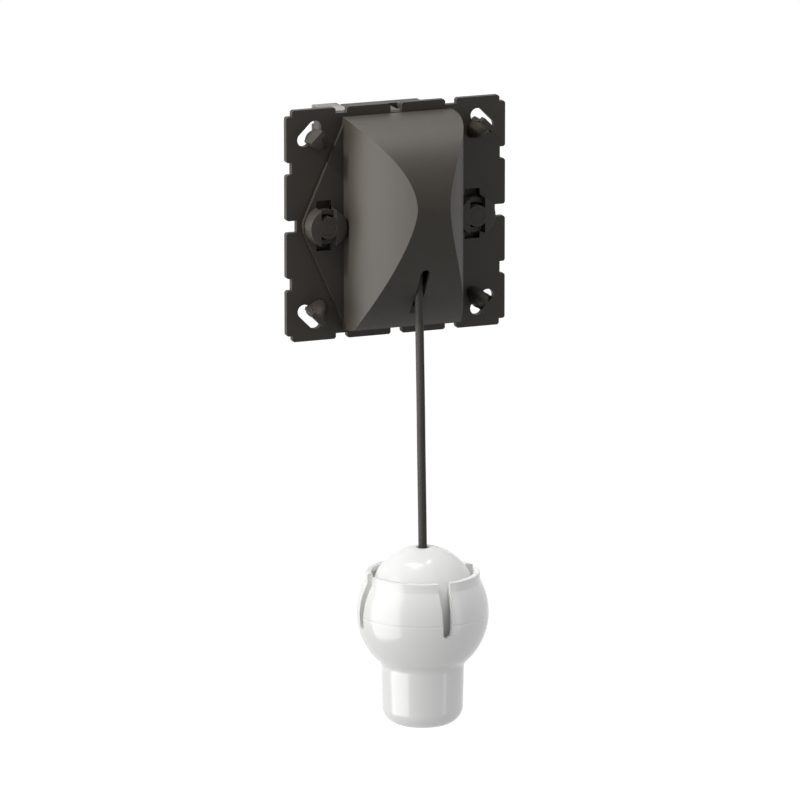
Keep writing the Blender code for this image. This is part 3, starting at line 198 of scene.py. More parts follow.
class PlateSizes(bpy.types.PropertyGroup):
    """Sizes of the square mounting plate and its hooks"""

    side: length("Side", "Width and height of the plate", (PLATE_HIGH.x - PLATE_LOW.x) / MM)
    thick: length("Thickness", "Thickness of the plate", 2.0)
    corner_step: length("Corner step", "Square step cut out of each corner", 1.9)
    chamfer: length("Chamfer", "Chamfer at the mouths of the notches", 0.5)
    notch_pitch: length("Notch pitch", "Distance between the notches on a side", 17.75)
    notch_width: length("Notch width", "Width of a notch", 3.7)
    notch_depth: length("Notch depth", "Depth of the outer notches", 1.7)
    side_notch: length("Side notch", "Depth of the middle notch at the left and right", 3.3)
    top_notch: length("Top notch", "Depth of the middle notch at the top", 2.7)
    bottom_notch: length("Bottom notch", "Depth of the middle notch at the bottom", 2.0)
    slot_radius: length("Slot radius", "Distance of a corner slot from the plate's centre", 39.705)
    slot_length: length("Slot length", "Length of a corner slot", 9.2)
    slot_width: length("Slot width", "Width of a corner slot", 4.3)
    opening_gap: length("Opening gap", "Gap around the housing", 0.3)
    hook_radius: length("Hook radius", "Radius of a hook's round post", 3.2)
    hook_foot: length("Hook post", "Height of a hook's round post", 3.8)
    hook_setback: length("Hook setback", "Distance of a hook's middle from its slot", 1.25)
    hook_height: length("Hook height", "Height of a hook above the plate", 6.4)
    hook_reach: length("Hook reach", "How far a hook's nose reaches over its slot", 2.25)
    hook_lip: length("Hook lip", "Thickness of a hook's nose", 2.6)
    hook_nose: length("Hook nose", "Width of a hook's straight nose", 5.3)
    hook_flat: length("Hook flat", "Width of the flat on a hook's tip", 1.5)
    pin_hole: length("Pin hole", "Radius of the holes for the hood's pins, in the plate and the bosses", 2.3)
    pin_seat: length("Pin seat", "Radius of the recesses for the pins' heads", 4.3)
    pin_seat_depth: length("Pin seat depth", "Depth of the recesses for the pins' heads", 1.1)
    rail_thick: length("Rail thickness", "Thickness of the rails that grip the housing", 1.6)
    rail_length: length("Rail length", "Length of the rails that grip the housing", 24.0)
    rail_window: length("Rail window", "Length of the window in a rail", 7.8)
    rail_window_near: length("Rail window front", "Where the window in a rail starts", 3.6)
    rail_window_far: length("Rail window back", "Where the window in a rail ends", 6.8)
    lip_length: length("Lip length", "Length of the lips above and below the housing", 12.0)
    lip_depth: length("Lip depth", "Depth of the lips above and below the housing", 2.2)
    edge: length("Edge radius", "Rounding of the plate's edges", 0.22)


class HoodSizes(bpy.types.PropertyGroup):
    """Sizes of the hood, its flange and its bosses"""

    lift: length("Lift", "Gap between the plate and the hood", 0.3)
    half_width: length("Half width", "Half of the hood's width", 17.7)
    height: length("Height", "Height of the ridge", 29.9)
    side_height: length("Side height", "Height at which the two flanks would meet", 34.8)
    foot_height: length("Foot height", "Height of the upright foot under each flank", 4.4)
    top: length("Top", "Reach above the plate's centre", 32.6)
    bottom: length("Bottom", "Reach below the plate's centre", 32.9)
    ramp_overrun: length("Ramp overrun", "How far the ramp's curve would run on below the foot", 3.5)
    end_draft: FloatProperty(name="End draft", description="Slope of the lower end wall", default=0.163)
    apex: length("Apex", "Height of the ridge above the plate's centre", 8.5)
    ramp_power: FloatProperty(name="Ramp power", description="Fullness of the lower ramp", default=1.48)
    wall: length("Wall", "Thickness of the hood", 1.5)
    crease: length("Crease radius", "Rounding of the ridges between flank and ramp", 0.45)
    flange_thick: length("Flange thickness", "Thickness of the flange", 1.3)
    flange_root: length("Flange root", "How far the flange's opening lies inside the hood's skin", 1.1)
    flange_end: length("Flange end", "Radius of the flange about each boss", 6.6)
    slot_width: length("Cord slot width", "Width of the slot that the cord hangs from", 2.9)
    slot_top: length("Cord slot top", "How far below the centre the slot starts", 11.3)
    slot_bottom: length("Cord slot bottom", "How far below the centre the slot ends", 26.4)
    anchor_forward: length("Anchor forward", "Distance of the cord's barrel from the plate", 17.5)
    anchor_drop: length("Anchor drop", "Depth of the cord's barrel below the centre", 2.0)
    boss_x: length("Boss distance", "Distance of a boss from the centre", 24.1)
    boss_radius: length("Boss radius", "Radius of a boss at its foot", 6.3)
    boss_face: length("Boss face", "Radius of a boss at its face", 5.9)
    boss_height: length("Boss height", "Height of a boss above the flange's base", 5.7)
    boss_core: length("Boss core", "Radius of the core in a boss", 3.3)
    boss_mark: length("Boss mark", "Radius of the fine ring on a boss's core", 2.2)
    boss_mark_depth: length("Boss mark depth", "Depth of the fine ring on a boss's core", 0.07)
    boss_cover: length("Boss cover", "Thickness left over a pin in a boss", 1.2)
    ledge_inner: length("Ledge inner", "Inner radius of the ledge in a boss's window", 3.9)
    ledge_outer: length("Ledge outer", "Outer radius of the ledge in a boss's window", 5.3)
    ledge_height: length("Ledge height", "Height of the ledge in a boss's window", 3.2)
    window_width: length("Window width", "Width of the windows beside a boss's core", 4.86)
    window_reach: length("Window reach", "How far the windows reach from a boss's axis", 7.7)
    window_sink: length("Window sink", "Depth of the windows' pockets in the plate", 1.2)
    edge: length("Edge radius", "Rounding of the bosses' edges", 0.2)


class KnobSizes(bpy.types.PropertyGroup):
    """Sizes of the pull knob"""

    bulb: length("Bulb radius", "Radius of the round cup", 20.0)
    wall: length("Wall", "Thickness of the cup and the dome", 1.8)
    rim: length("Rim radius", "Radius of the collar at the cup's mouth", 17.3)
    rim_rise: length("Rim rise", "Height of the mouth above the bulb's centre", 12.7)
    stem: length("Stem radius", "Radius of the stem under the bulb", 12.5)
    stem_foot: length("Stem foot", "Radius of the stem at its foot", 12.25)
    fillet: length("Neck fillet", "Radius between bulb and stem", 3.0)
    foot_drop: length("Foot drop", "Depth of the foot below the bulb's centre", 34.5)
    foot_round: length("Foot round", "Rounding of the foot", 5.5)
    bore: length("Bore", "Radius of the hollow in the stem", 10.6)
    floor: length("Floor", "Thickness of the foot", 2.5)
    ledge: length("Ledge", "Depth of the dome's seat below the bulb's centre", 7.0)
    seam: length("Seam", "Depth of the fine moulding seam", 0.05)
    slot_width: length("Slot width", "Width of the slits at the mouth", 4.0)
    slot_foot: length("Slot foot", "Width of the slits at their foot", 2.7)
    slot_drop: length("Slot drop", "Depth of the slits below the bulb's centre", 3.8)
    dome: length("Dome radius", "Radius of the domed insert", 16.1)
    dome_rise: length("Dome rise", "Height of the dome's centre above the bulb's", 4.4)
    dome_flat: length("Dome flat", "Radius of the flat on the dome", 3.5)
    dome_skirt: length("Dome skirt", "Radius of the dome's skirt", 15.2)
    hole: length("Cord hole", "Radius of the cord's hole", 1.75)
    gap: length("Seat gap", "Gap under the dome's skirt", 0.3)
    edge: length("Edge radius", "Rounding of the mouth and the slits", 0.35)
    steps: IntProperty(name="Steps", description="Facets round the knob", default=144, min=24)


class CordSizes(bpy.types.PropertyGroup):
    """Sizes of the pull cord"""

    radius: length("Radius", "Radius of the cord", 1.3)
    spacing: length("Spacing", "Distance between the points of its line", 1.0)
    bend_drop: length("Bend drop", "How far below the centre the cord leaves the hood", 22.5)
    bend_length: length("Bend length", "Length of cord that bends when it sways", 6.0)
    pitch: length("Lay", "Length of one turn of the cord's strands", 5.0)


class SpringSizes(bpy.types.PropertyGroup):
    """Sizes of the springs' ends and of the lengths that their leaves are cut into"""

    dead_coil: length("Dead coil", "Length of the coil spring's ends that keep their shape", 0.7)
    leaf_root: length("Leaf root", "Depth of a clamp's fixed leg on the housing's wall", 0.8)
    press_x: length("Press point", "Distance from the middle at which a tab presses its leaf", 11.9)
    leaf_steps: IntProperty(name="Leaf steps", description="Straight lengths in a leaf's bend",
                            default=6, min=1)


class Finishes(bpy.types.PropertyGroup):
    """Colours of the switch's materials"""

    moulding: colour("Moulding", "Dark plate and hood", (0.0262, 0.0220, 0.0168))
    housing: colour("Housing", "Housing behind the plate", (0.043, 0.0385, 0.0335))
    tab: colour("Release tab", "Light grey release tabs", (0.165, 0.16, 0.157))
    knob: colour("Knob", "White pull knob", (0.825, 0.822, 0.799))
    cord: colour("Cord", "Pull cord", (0.042, 0.0385, 0.0335))
    nylon: colour("Nylon", "Crank and plunger", (0.62, 0.60, 0.54))
    steel: colour("Steel", "Pins, screws and springs", (0.62, 0.62, 0.60))
    brass: colour("Brass", "Contact strips", (0.72, 0.52, 0.24))
    silver: colour("Silver", "Contact points", (0.80, 0.79, 0.76))
    floor: colour("Floor", "Studio floor", (0.60, 0.60, 0.60))


# Materials

def shader_nodes(name):
    """A new material with its node tree and shader."""
    mat = bpy.data.materials.new(name)
    mat.use_nodes = True
    tree = mat.node_tree
    return mat, tree, tree.nodes["Principled BSDF"]


def add(tree, kind, **values):
    """A node with its sockets set by name."""
    node = tree.nodes.new(kind)
    for key, value in values.items():
        node.inputs[key.replace("_", " ")].default_value = value
    return node


def noise(tree, scale, detail=2.0, stretch=(1.0, 1.0, 1.0)):
    """Noise on the piece's own coordinates."""
    place = tree.nodes.new("ShaderNodeTexCoord")
    mapping = add(tree, "ShaderNodeMapping", Scale=stretch)
    texture = add(tree, "ShaderNodeTexNoise", Scale=scale, Detail=detail)
    tree.links.new(place.outputs["Object"], mapping.inputs["Vector"])
    tree.links.new(mapping.outputs["Vector"], texture.inputs["Vector"])
    return texture.outputs["Fac"]


def spread(tree, fac, low, high):
    """Noise brought to a range of values."""
    node = add(tree, "ShaderNodeMapRange", From_Min=NOISE_LOW, From_Max=NOISE_HIGH,
               To_Min=low, To_Max=high)
    tree.links.new(fac, node.inputs["Value"])
    return node.outputs["Result"]


def tint(tree, fac, base, change):
    """A colour that wanders by a share of itself."""
    node = tree.nodes.new("ShaderNodeMix")
    node.data_type = "RGBA"
    dark, light = (tuple(min(c * k, 1.0) for c in base) + (1.0,) for k in (1 - change, 1 + change))
    node.inputs[MIX_DARK].default_value = dark
    node.inputs[MIX_LIGHT].default_value = light
    tree.links.new(fac, node.inputs[MIX_FACTOR])
    return node.outputs[MIX_RESULT]


def bumped(tree, shader, fac, strength, depth):
    """Gives a shader a fine relief."""
    node = add(tree, "ShaderNodeBump", Strength=strength, Distance=depth)
    tree.links.new(fac, node.inputs["Height"])
    tree.links.new(node.outputs["Normal"], shader.inputs["Normal"])


def moulded(name, base, specular):
    """Moulded plastic with a spark-eroded grain and faint flow marks."""
    mat, tree, shader = shader_nodes(name)
    shader.inputs["Specular IOR Level"].default_value = specular
    flow = noise(tree, scale=90.0, detail=3.0)
    grain = noise(tree, scale=2600.0)
    tree.links.new(tint(tree, flow, base, change=0.08), shader.inputs["Base Color"])
    tree.links.new(spread(tree, grain, low=0.45, high=0.55), shader.inputs["Roughness"])
    bumped(tree, shader, grain, strength=0.25, depth=0.03 * MM)
    return mat


def polished(name, base):
    """Glossy white plastic: smooth, with a very faint ripple."""
    mat, tree, shader = shader_nodes(name)
    shader.inputs["Specular IOR Level"].default_value = 0.12
    shader.inputs["Coat Weight"].default_value = 0.28
    shader.inputs["Coat Roughness"].default_value = 0.06
    ripple = noise(tree, scale=60.0)
    fine = noise(tree, scale=400.0)
    tree.links.new(tint(tree, ripple, base, change=0.012), shader.inputs["Base Color"])
    tree.links.new(spread(tree, fine, low=0.21, high=0.27), shader.inputs["Roughness"])
    bumped(tree, shader, ripple, strength=0.05, depth=0.2 * MM)
    return mat


def metal(name, base):
    """Drawn or rolled metal with fine lines along its run."""
    mat, tree, shader = shader_nodes(name)
    shader.inputs["Metallic"].default_value = 1.0
    lines = noise(tree, scale=1500.0, detail=3.0, stretch=(1.0, 1.0, 8.0))
    tree.links.new(tint(tree, lines, base, change=0.10), shader.inputs["Base Color"])
    tree.links.new(spread(tree, lines, low=0.24, high=0.40), shader.inputs["Roughness"])
    bumped(tree, shader, lines, strength=0.15, depth=0.03 * MM)
    return mat


def twisted(name, base, sizes):
    """Cord whose strands wind round it, with a soft sheen."""
    mat, tree, shader = shader_nodes(name)
    shader.inputs["Sheen Weight"].default_value = 0.04
    shader.inputs["Specular IOR Level"].default_value = 0.12
    place = tree.nodes.new("ShaderNodeTexCoord")
    turn = add(tree, "ShaderNodeMapping", Rotation=(0.0, math.radians(35), math.radians(20)))
    strands = add(tree, "ShaderNodeTexWave", Scale=1.0 / sizes.pitch * STRAND_WAVE, Distortion=0.6,
                  Detail=2.0)
    strands.bands_direction = "Z"
    tree.links.new(place.outputs["Object"], turn.inputs["Vector"])
    tree.links.new(turn.outputs["Vector"], strands.inputs["Vector"])
    relief = strands.outputs["Fac"]
    fuzz = noise(tree, scale=2500.0)
    tree.links.new(tint(tree, relief, base, change=0.05), shader.inputs["Base Color"])
    tree.links.new(spread(tree, fuzz, low=0.55, high=0.70), shader.inputs["Roughness"])
    bumped(tree, shader, relief, strength=0.05, depth=0.1 * MM)
    return mat


def finish_for(kind):
    """The material of a finish, made once."""
    name = "finish_" + kind
    found = bpy.data.materials.get(name)
    if found:
        return found
    base = tuple(getattr(bpy.context.scene.switch_finishes, kind))
    if kind == "knob":
        return polished(name, base)
    if kind == "cord":
        return twisted(name, base, bpy.context.scene.switch_cord)
    if kind in METALS:
        return metal(name, base)
    return moulded(name, base, PLASTIC_SPECULAR[kind])


def seen_directly(tree):
    """1 for camera, glossy and transmission rays, and 0 for the rest."""
    path = tree.nodes.new("ShaderNodeLightPath")
    seen = path.outputs["Is Camera Ray"]
    for name in ("Is Glossy Ray", "Is Transmission Ray"):
        either = tree.nodes.new("ShaderNodeMath")
        either.operation = "MAXIMUM"
        tree.links.new(seen, either.inputs[0])
        tree.links.new(path.outputs[name], either.inputs[1])
        seen = either.outputs["Value"]
    return seen


# Shaping with bmesh

def prism(points, low, high, place):
    """A flat outline drawn in local XY and extruded along local Z."""
    bm = bmesh.new()
    face = bm.faces.new([bm.verts.new((x, y, low)) for x, y in points])
    grown = bmesh.ops.extrude_face_region(bm, geom=[face])["geom"]
    moved = [v for v in grown if isinstance(v, bmesh.types.BMVert)]
    bmesh.ops.translate(bm, vec=(0, 0, high - low), verts=moved)
    bmesh.ops.recalc_face_normals(bm, faces=bm.faces)
    bmesh.ops.transform(bm, matrix=place, verts=bm.verts)
    return bm


def block(low, high):
    """A box between two corners."""
    low, high = Vector(low), Vector(high)
    bm = bmesh.new()
    bmesh.ops.create_cube(bm, size=1.0)
    bmesh.ops.scale(bm, vec=high - low, verts=bm.verts)
    bmesh.ops.translate(bm, vec=(low + high) / 2, verts=bm.verts)
    return bm


def rod(radius, start, end, steps=64):
    """A round bar between two points."""
    start, end = Vector(start), Vector(end)
    bm = bmesh.new()
    bmesh.ops.create_cone(bm, cap_ends=True, segments=steps, radius1=radius, radius2=radius,
                          depth=(end - start).length)
    turn = (end - start).to_track_quat("Z", "Y").to_matrix().to_4x4()
    bmesh.ops.transform(bm, matrix=Matrix.Translation((start + end) / 2) @ turn, verts=bm.verts)
    return bm


def turned(profile, place, steps, closed=False):
    """A profile of (radius, height) points spun about local Z."""
    bm = bmesh.new()
    verts = [bm.verts.new((r, 0.0, z)) for r, z in profile]
    pairs = list(zip(verts, verts[1:])) + ([(verts[-1], verts[0])] if closed else [])
    edges = [bm.edges.new(pair) for pair in pairs]
    bmesh.ops.spin(bm, geom=verts + edges, cent=(0, 0, 0), axis=(0, 0, 1), dvec=(0, 0, 0),
                   angle=2 * math.pi, steps=steps, use_merge=True)
    bmesh.ops.remove_doubles(bm, verts=bm.verts, dist=MERGE)
    bmesh.ops.recalc_face_normals(bm, faces=bm.faces)
    bmesh.ops.transform(bm, matrix=place, verts=bm.verts)
    return bm


def to_object(name, bm):
    """A new object in the scene from a bmesh, which is freed."""
    mesh = bpy.data.meshes.new(name)
    bm.to_mesh(mesh)
    bm.free()
    obj = bpy.data.objects.new(name, mesh)
    bpy.context.scene.collection.objects.link(obj)
    return obj


def taken_from(obj, *tools):
    """The mesh that an object's curve or modifiers make. The object and its tools are removed."""
    shaped = obj.evaluated_get(bpy.context.evaluated_depsgraph_get())
    mesh = bpy.data.meshes.new_from_object(shaped)
    for spent in (obj, *tools):
        bpy.data.objects.remove(spent)
    bm = bmesh.new()
    bm.from_mesh(mesh)
    bpy.data.meshes.remove(mesh)
    bmesh.ops.remove_doubles(bm, verts=bm.verts, dist=MERGE)
    return bm


def carve(bm, others, operation="DIFFERENCE"):
    """The shape cut by others or crossed with them."""
    body = to_object("blank", bm)
    tools = [to_object("tool", other) for other in others]
    for other in tools:
        step = body.modifiers.new("Carve", "BOOLEAN")
        step.operation = operation
        step.solver = "EXACT"
        step.object = other
    return taken_from(body, *tools)


def together(shapes):
    """Several closed shapes in one mesh."""
    joined = bmesh.new()
    for bm in shapes:
        mesh = bpy.data.meshes.new("shape")
        bm.to_mesh(mesh)
        bm.free()
        joined.from_mesh(mesh)
        bpy.data.meshes.remove(mesh)
    return joined


def node_copy(node):
    """A copy of a CAD node's mesh with its points merged."""
    bm = bmesh.new()
    bm.from_mesh(frame["nodes"][node].data)
    bmesh.ops.remove_doubles(bm, verts=bm.verts, dist=MERGE)
    return bm


def dressed(name, bm, kind, nodes, sharp=SHARP_ANGLE):
    """A piece with its finish, which stands for CAD nodes."""
    obj = to_object(name, bm)
    obj.data.materials.append(finish_for(kind))
    obj.data.shade_smooth()
    obj.data.set_sharp_from_angle(angle=math.radians(sharp))
    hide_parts(*nodes)
    return obj


def piece(name, bm, kind, body, nodes, edge=0.0, segments=3, sharp=SHARP_ANGLE):
    """A finished piece that rides on a body and stands for CAD nodes."""
    obj = dressed(name, bm, kind, nodes, sharp)
    if edge:
        ease = obj.modifiers.new("Eased edges", "BEVEL")
        ease.width = edge
        ease.segments = segments
        ease.limit_method = "ANGLE"
        ease.angle_limit = math.radians(sharp)
        ease.harden_normals = True
        ease.use_clamp_overlap = True
    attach(obj, body)
    return obj


# Outlines

def arc(cx, cy, radius, start, end, steps):
    """Points on a circle between two angles in degrees, both ends included."""
    turns = [math.radians(start + (end - start) * i / steps) for i in range(steps + 1)]
    return [(cx + radius * math.cos(a), cy + radius * math.sin(a)) for a in turns]


def plate_side(s, centre_depth):
    """One side of the plate, from corner step to corner step, as (along, outward) points."""
    half, c, step, w = s.side / 2, s.chamfer, s.corner_step, s.notch_width / 2
    points = [(step - half, half - step), (step - half, half - c), (step - half + c, half)]
    notches = ((-s.notch_pitch, s.notch_depth), (0.0, centre_depth), (s.notch_pitch, s.notch_depth))
    for middle, depth in notches:
        left, right = middle - w, middle + w
        points += [(left - c, half), (left, half - c), (left, half - depth)]
        points += [(right, half - depth), (right, half - c), (right + c, half)]
    return points + [(half - step - c, half), (half - step, half - c)]


def plate_outline(s):
    """The plate's four sides, clockwise from the top."""
    sides = plate_side(s, s.side_notch)
    right = [(out, -along) for along, out in sides]
    bottom = [(-along, -out) for along, out in plate_side(s, s.bottom_notch)]
    left = [(-out, along) for along, out in sides]
    return plate_side(s, s.top_notch) + right + bottom + left


def corner_slot(s, sx, sz):
    """An obround hole across one corner of the plate."""
    turn = math.degrees(math.atan2(sz, sx))
    run = (s.slot_length - s.slot_width) / 2
    out = Vector((sx, sz)).normalized()
    along = Vector((-out.y, out.x))
    points = []
    for sign, start in ((1, turn), (-1, turn + 180)):
        centre = out * s.slot_radius + along * run * sign
        points += arc(centre.x, centre.y, s.slot_width / 2, start, start + 180, steps=20)
    return points


def hook_place(s, sx, sz):
    """Local X points out to the corner and local Z to the front, from the hook's foot."""
    centre = Vector((sx, 0, sz)).normalized() * (s.slot_radius - s.slot_width / 2 - s.hook_setback)
    turn = Matrix.Rotation(-math.atan2(sz, sx), 4, "Y")
    return Matrix.Translation((centre.x, -s.thick, centre.z)) @ turn @ TO_FRONT


def keep_side(bm, point, outward):
    """Cuts away what lies beyond a plane and closes the cut."""
    geometry = bm.verts[:] + bm.edges[:] + bm.faces[:]
    bmesh.ops.bisect_plane(bm, geom=geometry, plane_co=point, plane_no=outward, clear_outer=True)
    bmesh.ops.holes_fill(bm, edges=[e for e in bm.edges if e.is_boundary])
    bmesh.ops.recalc_face_normals(bm, faces=bm.faces)
    return bm


def hook(s, sx, sz):
    """A round post through the slot's edge, a dome behind it, and a straight nose on its top."""
    tip, half, root = s.hook_setback + s.hook_reach, s.hook_nose / 2, -s.thick / 2
    wall = tip - s.hook_flat
    post = rod(s.hook_radius, (0, 0, s.edge - s.thick), (0, 0, s.hook_foot))
    post = keep_side(post, (wall - s.edge, 0, 0), (-1, 0, 0))
    dome = bmesh.new()
    bmesh.ops.create_uvsphere(dome, u_segments=64, v_segments=48, radius=1.0)
    bmesh.ops.scale(dome, vec=(wall + s.hook_radius, half, s.hook_height), verts=dome.verts)
    bmesh.ops.translate(dome, vec=(wall, 0, 0), verts=dome.verts)
    dome = keep_side(dome, (0, 0, root), (0, 0, -1))
    dome = keep_side(dome, (wall + s.hook_flat / 2, 0, 0), (1, 0, 0))
    nose = block((wall, -half, s.hook_height - s.hook_lip), (tip, half, s.hook_height))
    joined = together([post, dome, nose])
    bmesh.ops.transform(joined, matrix=hook_place(s, sx, sz), verts=joined.verts)
    return joined


def tangent_angle(x, z, radius):
    """Where a line from (x, z) touches a circle about the origin, in degrees."""
    return math.degrees(math.atan2(z, x) - math.copysign(math.acos(radius / math.hypot(x, z)), z))


def flange_outline(s):
    """Round ends about the bosses, drawn in to the hood's four corners."""
    inset = s.wall / 2
    wide, top, bottom = s.half_width - inset, s.top - inset, inset - s.bottom
    upper = tangent_angle(wide - s.boss_x, top, s.flange_end)
    lower = tangent_angle(wide - s.boss_x, bottom, s.flange_end)
    right = arc(s.boss_x, 0, s.flange_end, lower, upper, steps=32)
    left = [(-x, z) for x, z in reversed(right)]
    return right + [(wide, top), (-wide, top)] + left + [(-wide, bottom), (wide, bottom)]


def hood_section(s, inset, foot, steps=64):
    """The hood seen from above, as (x, height): an upright foot at each side under a parabola."""
    wide, rise = s.half_width - inset, s.side_height - inset - s.foot_height
    points = []
    for i in range(-steps, steps + 1):
        across = -math.sin(math.pi / 2 * i / steps)
        points.append((wide * across, s.foot_height + rise * math.sqrt(1 - abs(across))))
    return points + [(-wide, foot), (wide, foot)]


def ramp_height(s, z, inset=0.0):
    """The hood's height above its base at a level on the ramp, for the outside or set in from it."""
    share = (s.apex - z) / (s.apex + s.bottom + s.ramp_overrun - inset)
    return (s.height - inset) * (1 - share ** s.ramp_power) ** (1 / s.ramp_power)


def end_wall(s, height, inset):
    """The level of the hood's lower end wall at a height above its base."""
    return inset - s.bottom + s.end_draft * height


def ramp_end(s, inset):
    """Where the ramp meets the drafted end wall under it."""
    low, high = -s.bottom, s.apex
    while high - low > RAMP_TOLERANCE:
        z = (low + high) / 2
        if z > end_wall(s, ramp_height(s, z, inset), inset):
            high = z
        else:
            low = z
    return high


def hood_arch(s, inset, foot, steps=48):
    """The hood seen from its side, as (height, z): a round brow, a long ramp and a drafted end wall."""
    top, high, end = s.top - inset, s.height - inset, ramp_end(s, inset)
    points = []
    for i in range(steps + 1):
        a = math.pi / 2 * i / steps
        points.append((high * math.sin(a), s.apex + (top - s.apex) * math.cos(a)))
    for i in range(1, steps + 1):
        z = s.apex + (end - s.apex) * i / steps
        points.append((ramp_height(s, z, inset), z))
    return points + [(foot, end_wall(s, foot, inset)), (foot, top)]


def hood_blank(s, base, inset, foot):
    """The crossing of the hood's two profiles."""
    reach = s.top + s.bottom
    section = prism(hood_section(s, inset, foot), -reach, reach, base @ FROM_ABOVE)
    arch = prism(hood_arch(s, inset, foot), -reach, reach, base @ PROFILE_VIEW)
    return carve(section, [arch], "INTERSECT")


def cord_slot(s, plate_y):
    """The fan-shaped slot that the cord swings in, narrowing towards the cord's barrel."""
    apex = Vector((s.anchor_forward, -s.anchor_drop))
    levels = (-s.slot_top - s.slot_width / 2, -s.slot_bottom)
    ends = [Vector((s.lift + ramp_height(s, z), z)) for z in levels]
    far = [apex + (end - apex) * CORD_SLOT_OVERSHOOT for end in ends]
    half = s.slot_width / 2
    place = Matrix.Translation((0, plate_y, 0)) @ PROFILE_VIEW
    fan = prism([tuple(p) for p in (apex, *far)], -half, half, place)
    start, end = ((0, plate_y - p.x, p.y) for p in (apex, far[0]))
    return [fan, rod(half, start, end, steps=48)]


def boss_window(s, base_y, x):
    """The windows above and below a boss's core, each with a low curved ledge standing in it."""
    half, reach, deep = s.window_width / 2, s.window_reach, s.boss_height * 2
    window = block((x - half, base_y - deep, -reach), (x + half, base_y + s.lift, reach))
    core = rod(s.boss_core, (x, base_y - 2 * deep, 0), (x, base_y + deep, 0), steps=72)
    profile = [(s.ledge_inner, s.ledge_height), (s.ledge_outer, s.ledge_height)]
    profile += [(s.ledge_outer, -deep), (s.ledge_inner, -deep)]
    place = Matrix.Translation((x, base_y, 0)) @ TO_FRONT
    ledge = turned(profile, place, steps=80, closed=True)
    return carve(window, [core, ledge])


def boss(s, base_y, x):
    """A tapered round boss with a fine ring on its face."""
    mark, fine, high = s.boss_mark, s.boss_mark_depth, s.boss_height
    profile = [(0, high), (mark - 2 * fine, high), (mark - fine, high - fine), (mark + fine, high - fine)]
    profile += [(mark + 2 * fine, high), (s.boss_face - s.edge, high)]
    profile += arc(s.boss_face - s.edge, high - s.edge, s.edge, 90, 0, steps=4)
    profile += [(s.boss_radius, 0), (0, 0)]
    return turned(profile, Matrix.Translation((x, base_y, 0)) @ TO_FRONT, steps=96)


def cup_profile(s):
    """The knob's cup, from its inner floor up to the mouth and down its outside to the foot."""
    inner, mouth = s.bulb - s.wall, s.rim - s.wall
    floor = s.floor - s.foot_drop
    points = [(0, floor), (s.bore, floor), (s.bore, -s.ledge)]
    start, end = math.asin(-s.ledge / inner), math.acos(mouth / inner)
    points += arc(0, 0, inner, math.degrees(start), math.degrees(end), steps=20)
    lip = s.edge
    points += arc(mouth + lip, s.rim_rise - lip, lip, 180, 90, steps=4)
    points += arc(s.rim - lip, s.rim_rise - lip, lip, 90, 0, steps=4)
    fillet_x = s.stem + s.fillet
    fillet_z = -math.sqrt((s.bulb + s.fillet) ** 2 - fillet_x ** 2)
    slope = math.degrees(math.atan2(-fillet_z, fillet_x))
    fine = math.degrees(2 * s.seam / s.bulb)
    points += arc(0, 0, s.bulb, math.degrees(math.acos(s.rim / s.bulb)), fine, steps=16)
    points += [(s.bulb - s.seam, 0)]
    points += arc(0, 0, s.bulb, -fine, -slope, steps=24)
    points += arc(fillet_x, fillet_z, s.fillet, 180 - slope, 180, steps=10)[1:]
    foot_x, foot_z = s.stem_foot - s.foot_round, s.foot_round - s.foot_drop
    points += arc(foot_x, foot_z, s.foot_round, 0, -90, steps=14)
    return points + [(0, -s.foot_drop)]


def petal_slots(s, place):
    """The slits in the cup's mouth."""
    half, foot = s.slot_width / 2, s.slot_foot / 2
    outline = [(half, 2 * s.rim_rise), (-half, 2 * s.rim_rise), (-half, s.rim_rise)]
    outline += arc(0, foot - s.slot_drop, foot, 180, 360, steps=16) + [(half, s.rim_rise)]
    cutters = []
    for i in range(SLIT_COUNT):
        turn = Matrix.Rotation(2 * math.pi * i / SLIT_COUNT, 4, "Z") @ TO_FRONT
        cutters.append(prism(outline, s.stem, s.bulb * SLIT_OVERSHOOT, place @ turn))
    return cutters


def dome_profile(s):
    """The domed insert: its flat top with the cord's hole, its skirt, and its hollow."""
    inner, foot = s.dome - s.wall, s.gap - s.ledge
    flat = math.degrees(math.acos(s.dome_flat / s.dome))
    hole = math.degrees(math.acos(s.hole / inner))
    top = s.dome_rise + s.dome * math.sin(math.radians(flat))
    ease = s.edge / 2
    points = [(s.hole, top - 2 * ease), (s.hole + 2 * ease, top), (s.dome_flat - ease, top)]
    points += arc(0, s.dome_rise, s.dome, flat, 0, steps=28)[1:]
    points += [(s.dome_skirt, foot), (s.dome_skirt - s.wall, foot)]
    return points + arc(0, s.dome_rise, inner, 0, hole, steps=24)


def smooth_run(points, spacing):
    """Points at an even spacing on a smooth curve through a route."""
    route = [Vector(p) for p in points]
    route = [route[0] * 2 - route[1], *route, route[-1] * 2 - route[-2]]
    run = []
    for a, b, c, d in zip(route, route[1:], route[2:], route[3:]):
        steps = max(1, round((c - b).length / spacing))
        for i in range(steps):
            t = i / steps
            run.append((b * 2 + (c - a) * t + (a * 2 - b * 5 + c * 4 - d) * t ** 2
                        + (b * 3 - a - c * 3 + d) * t ** 3) / 2)
    return run + [route[-2]]


# Operators

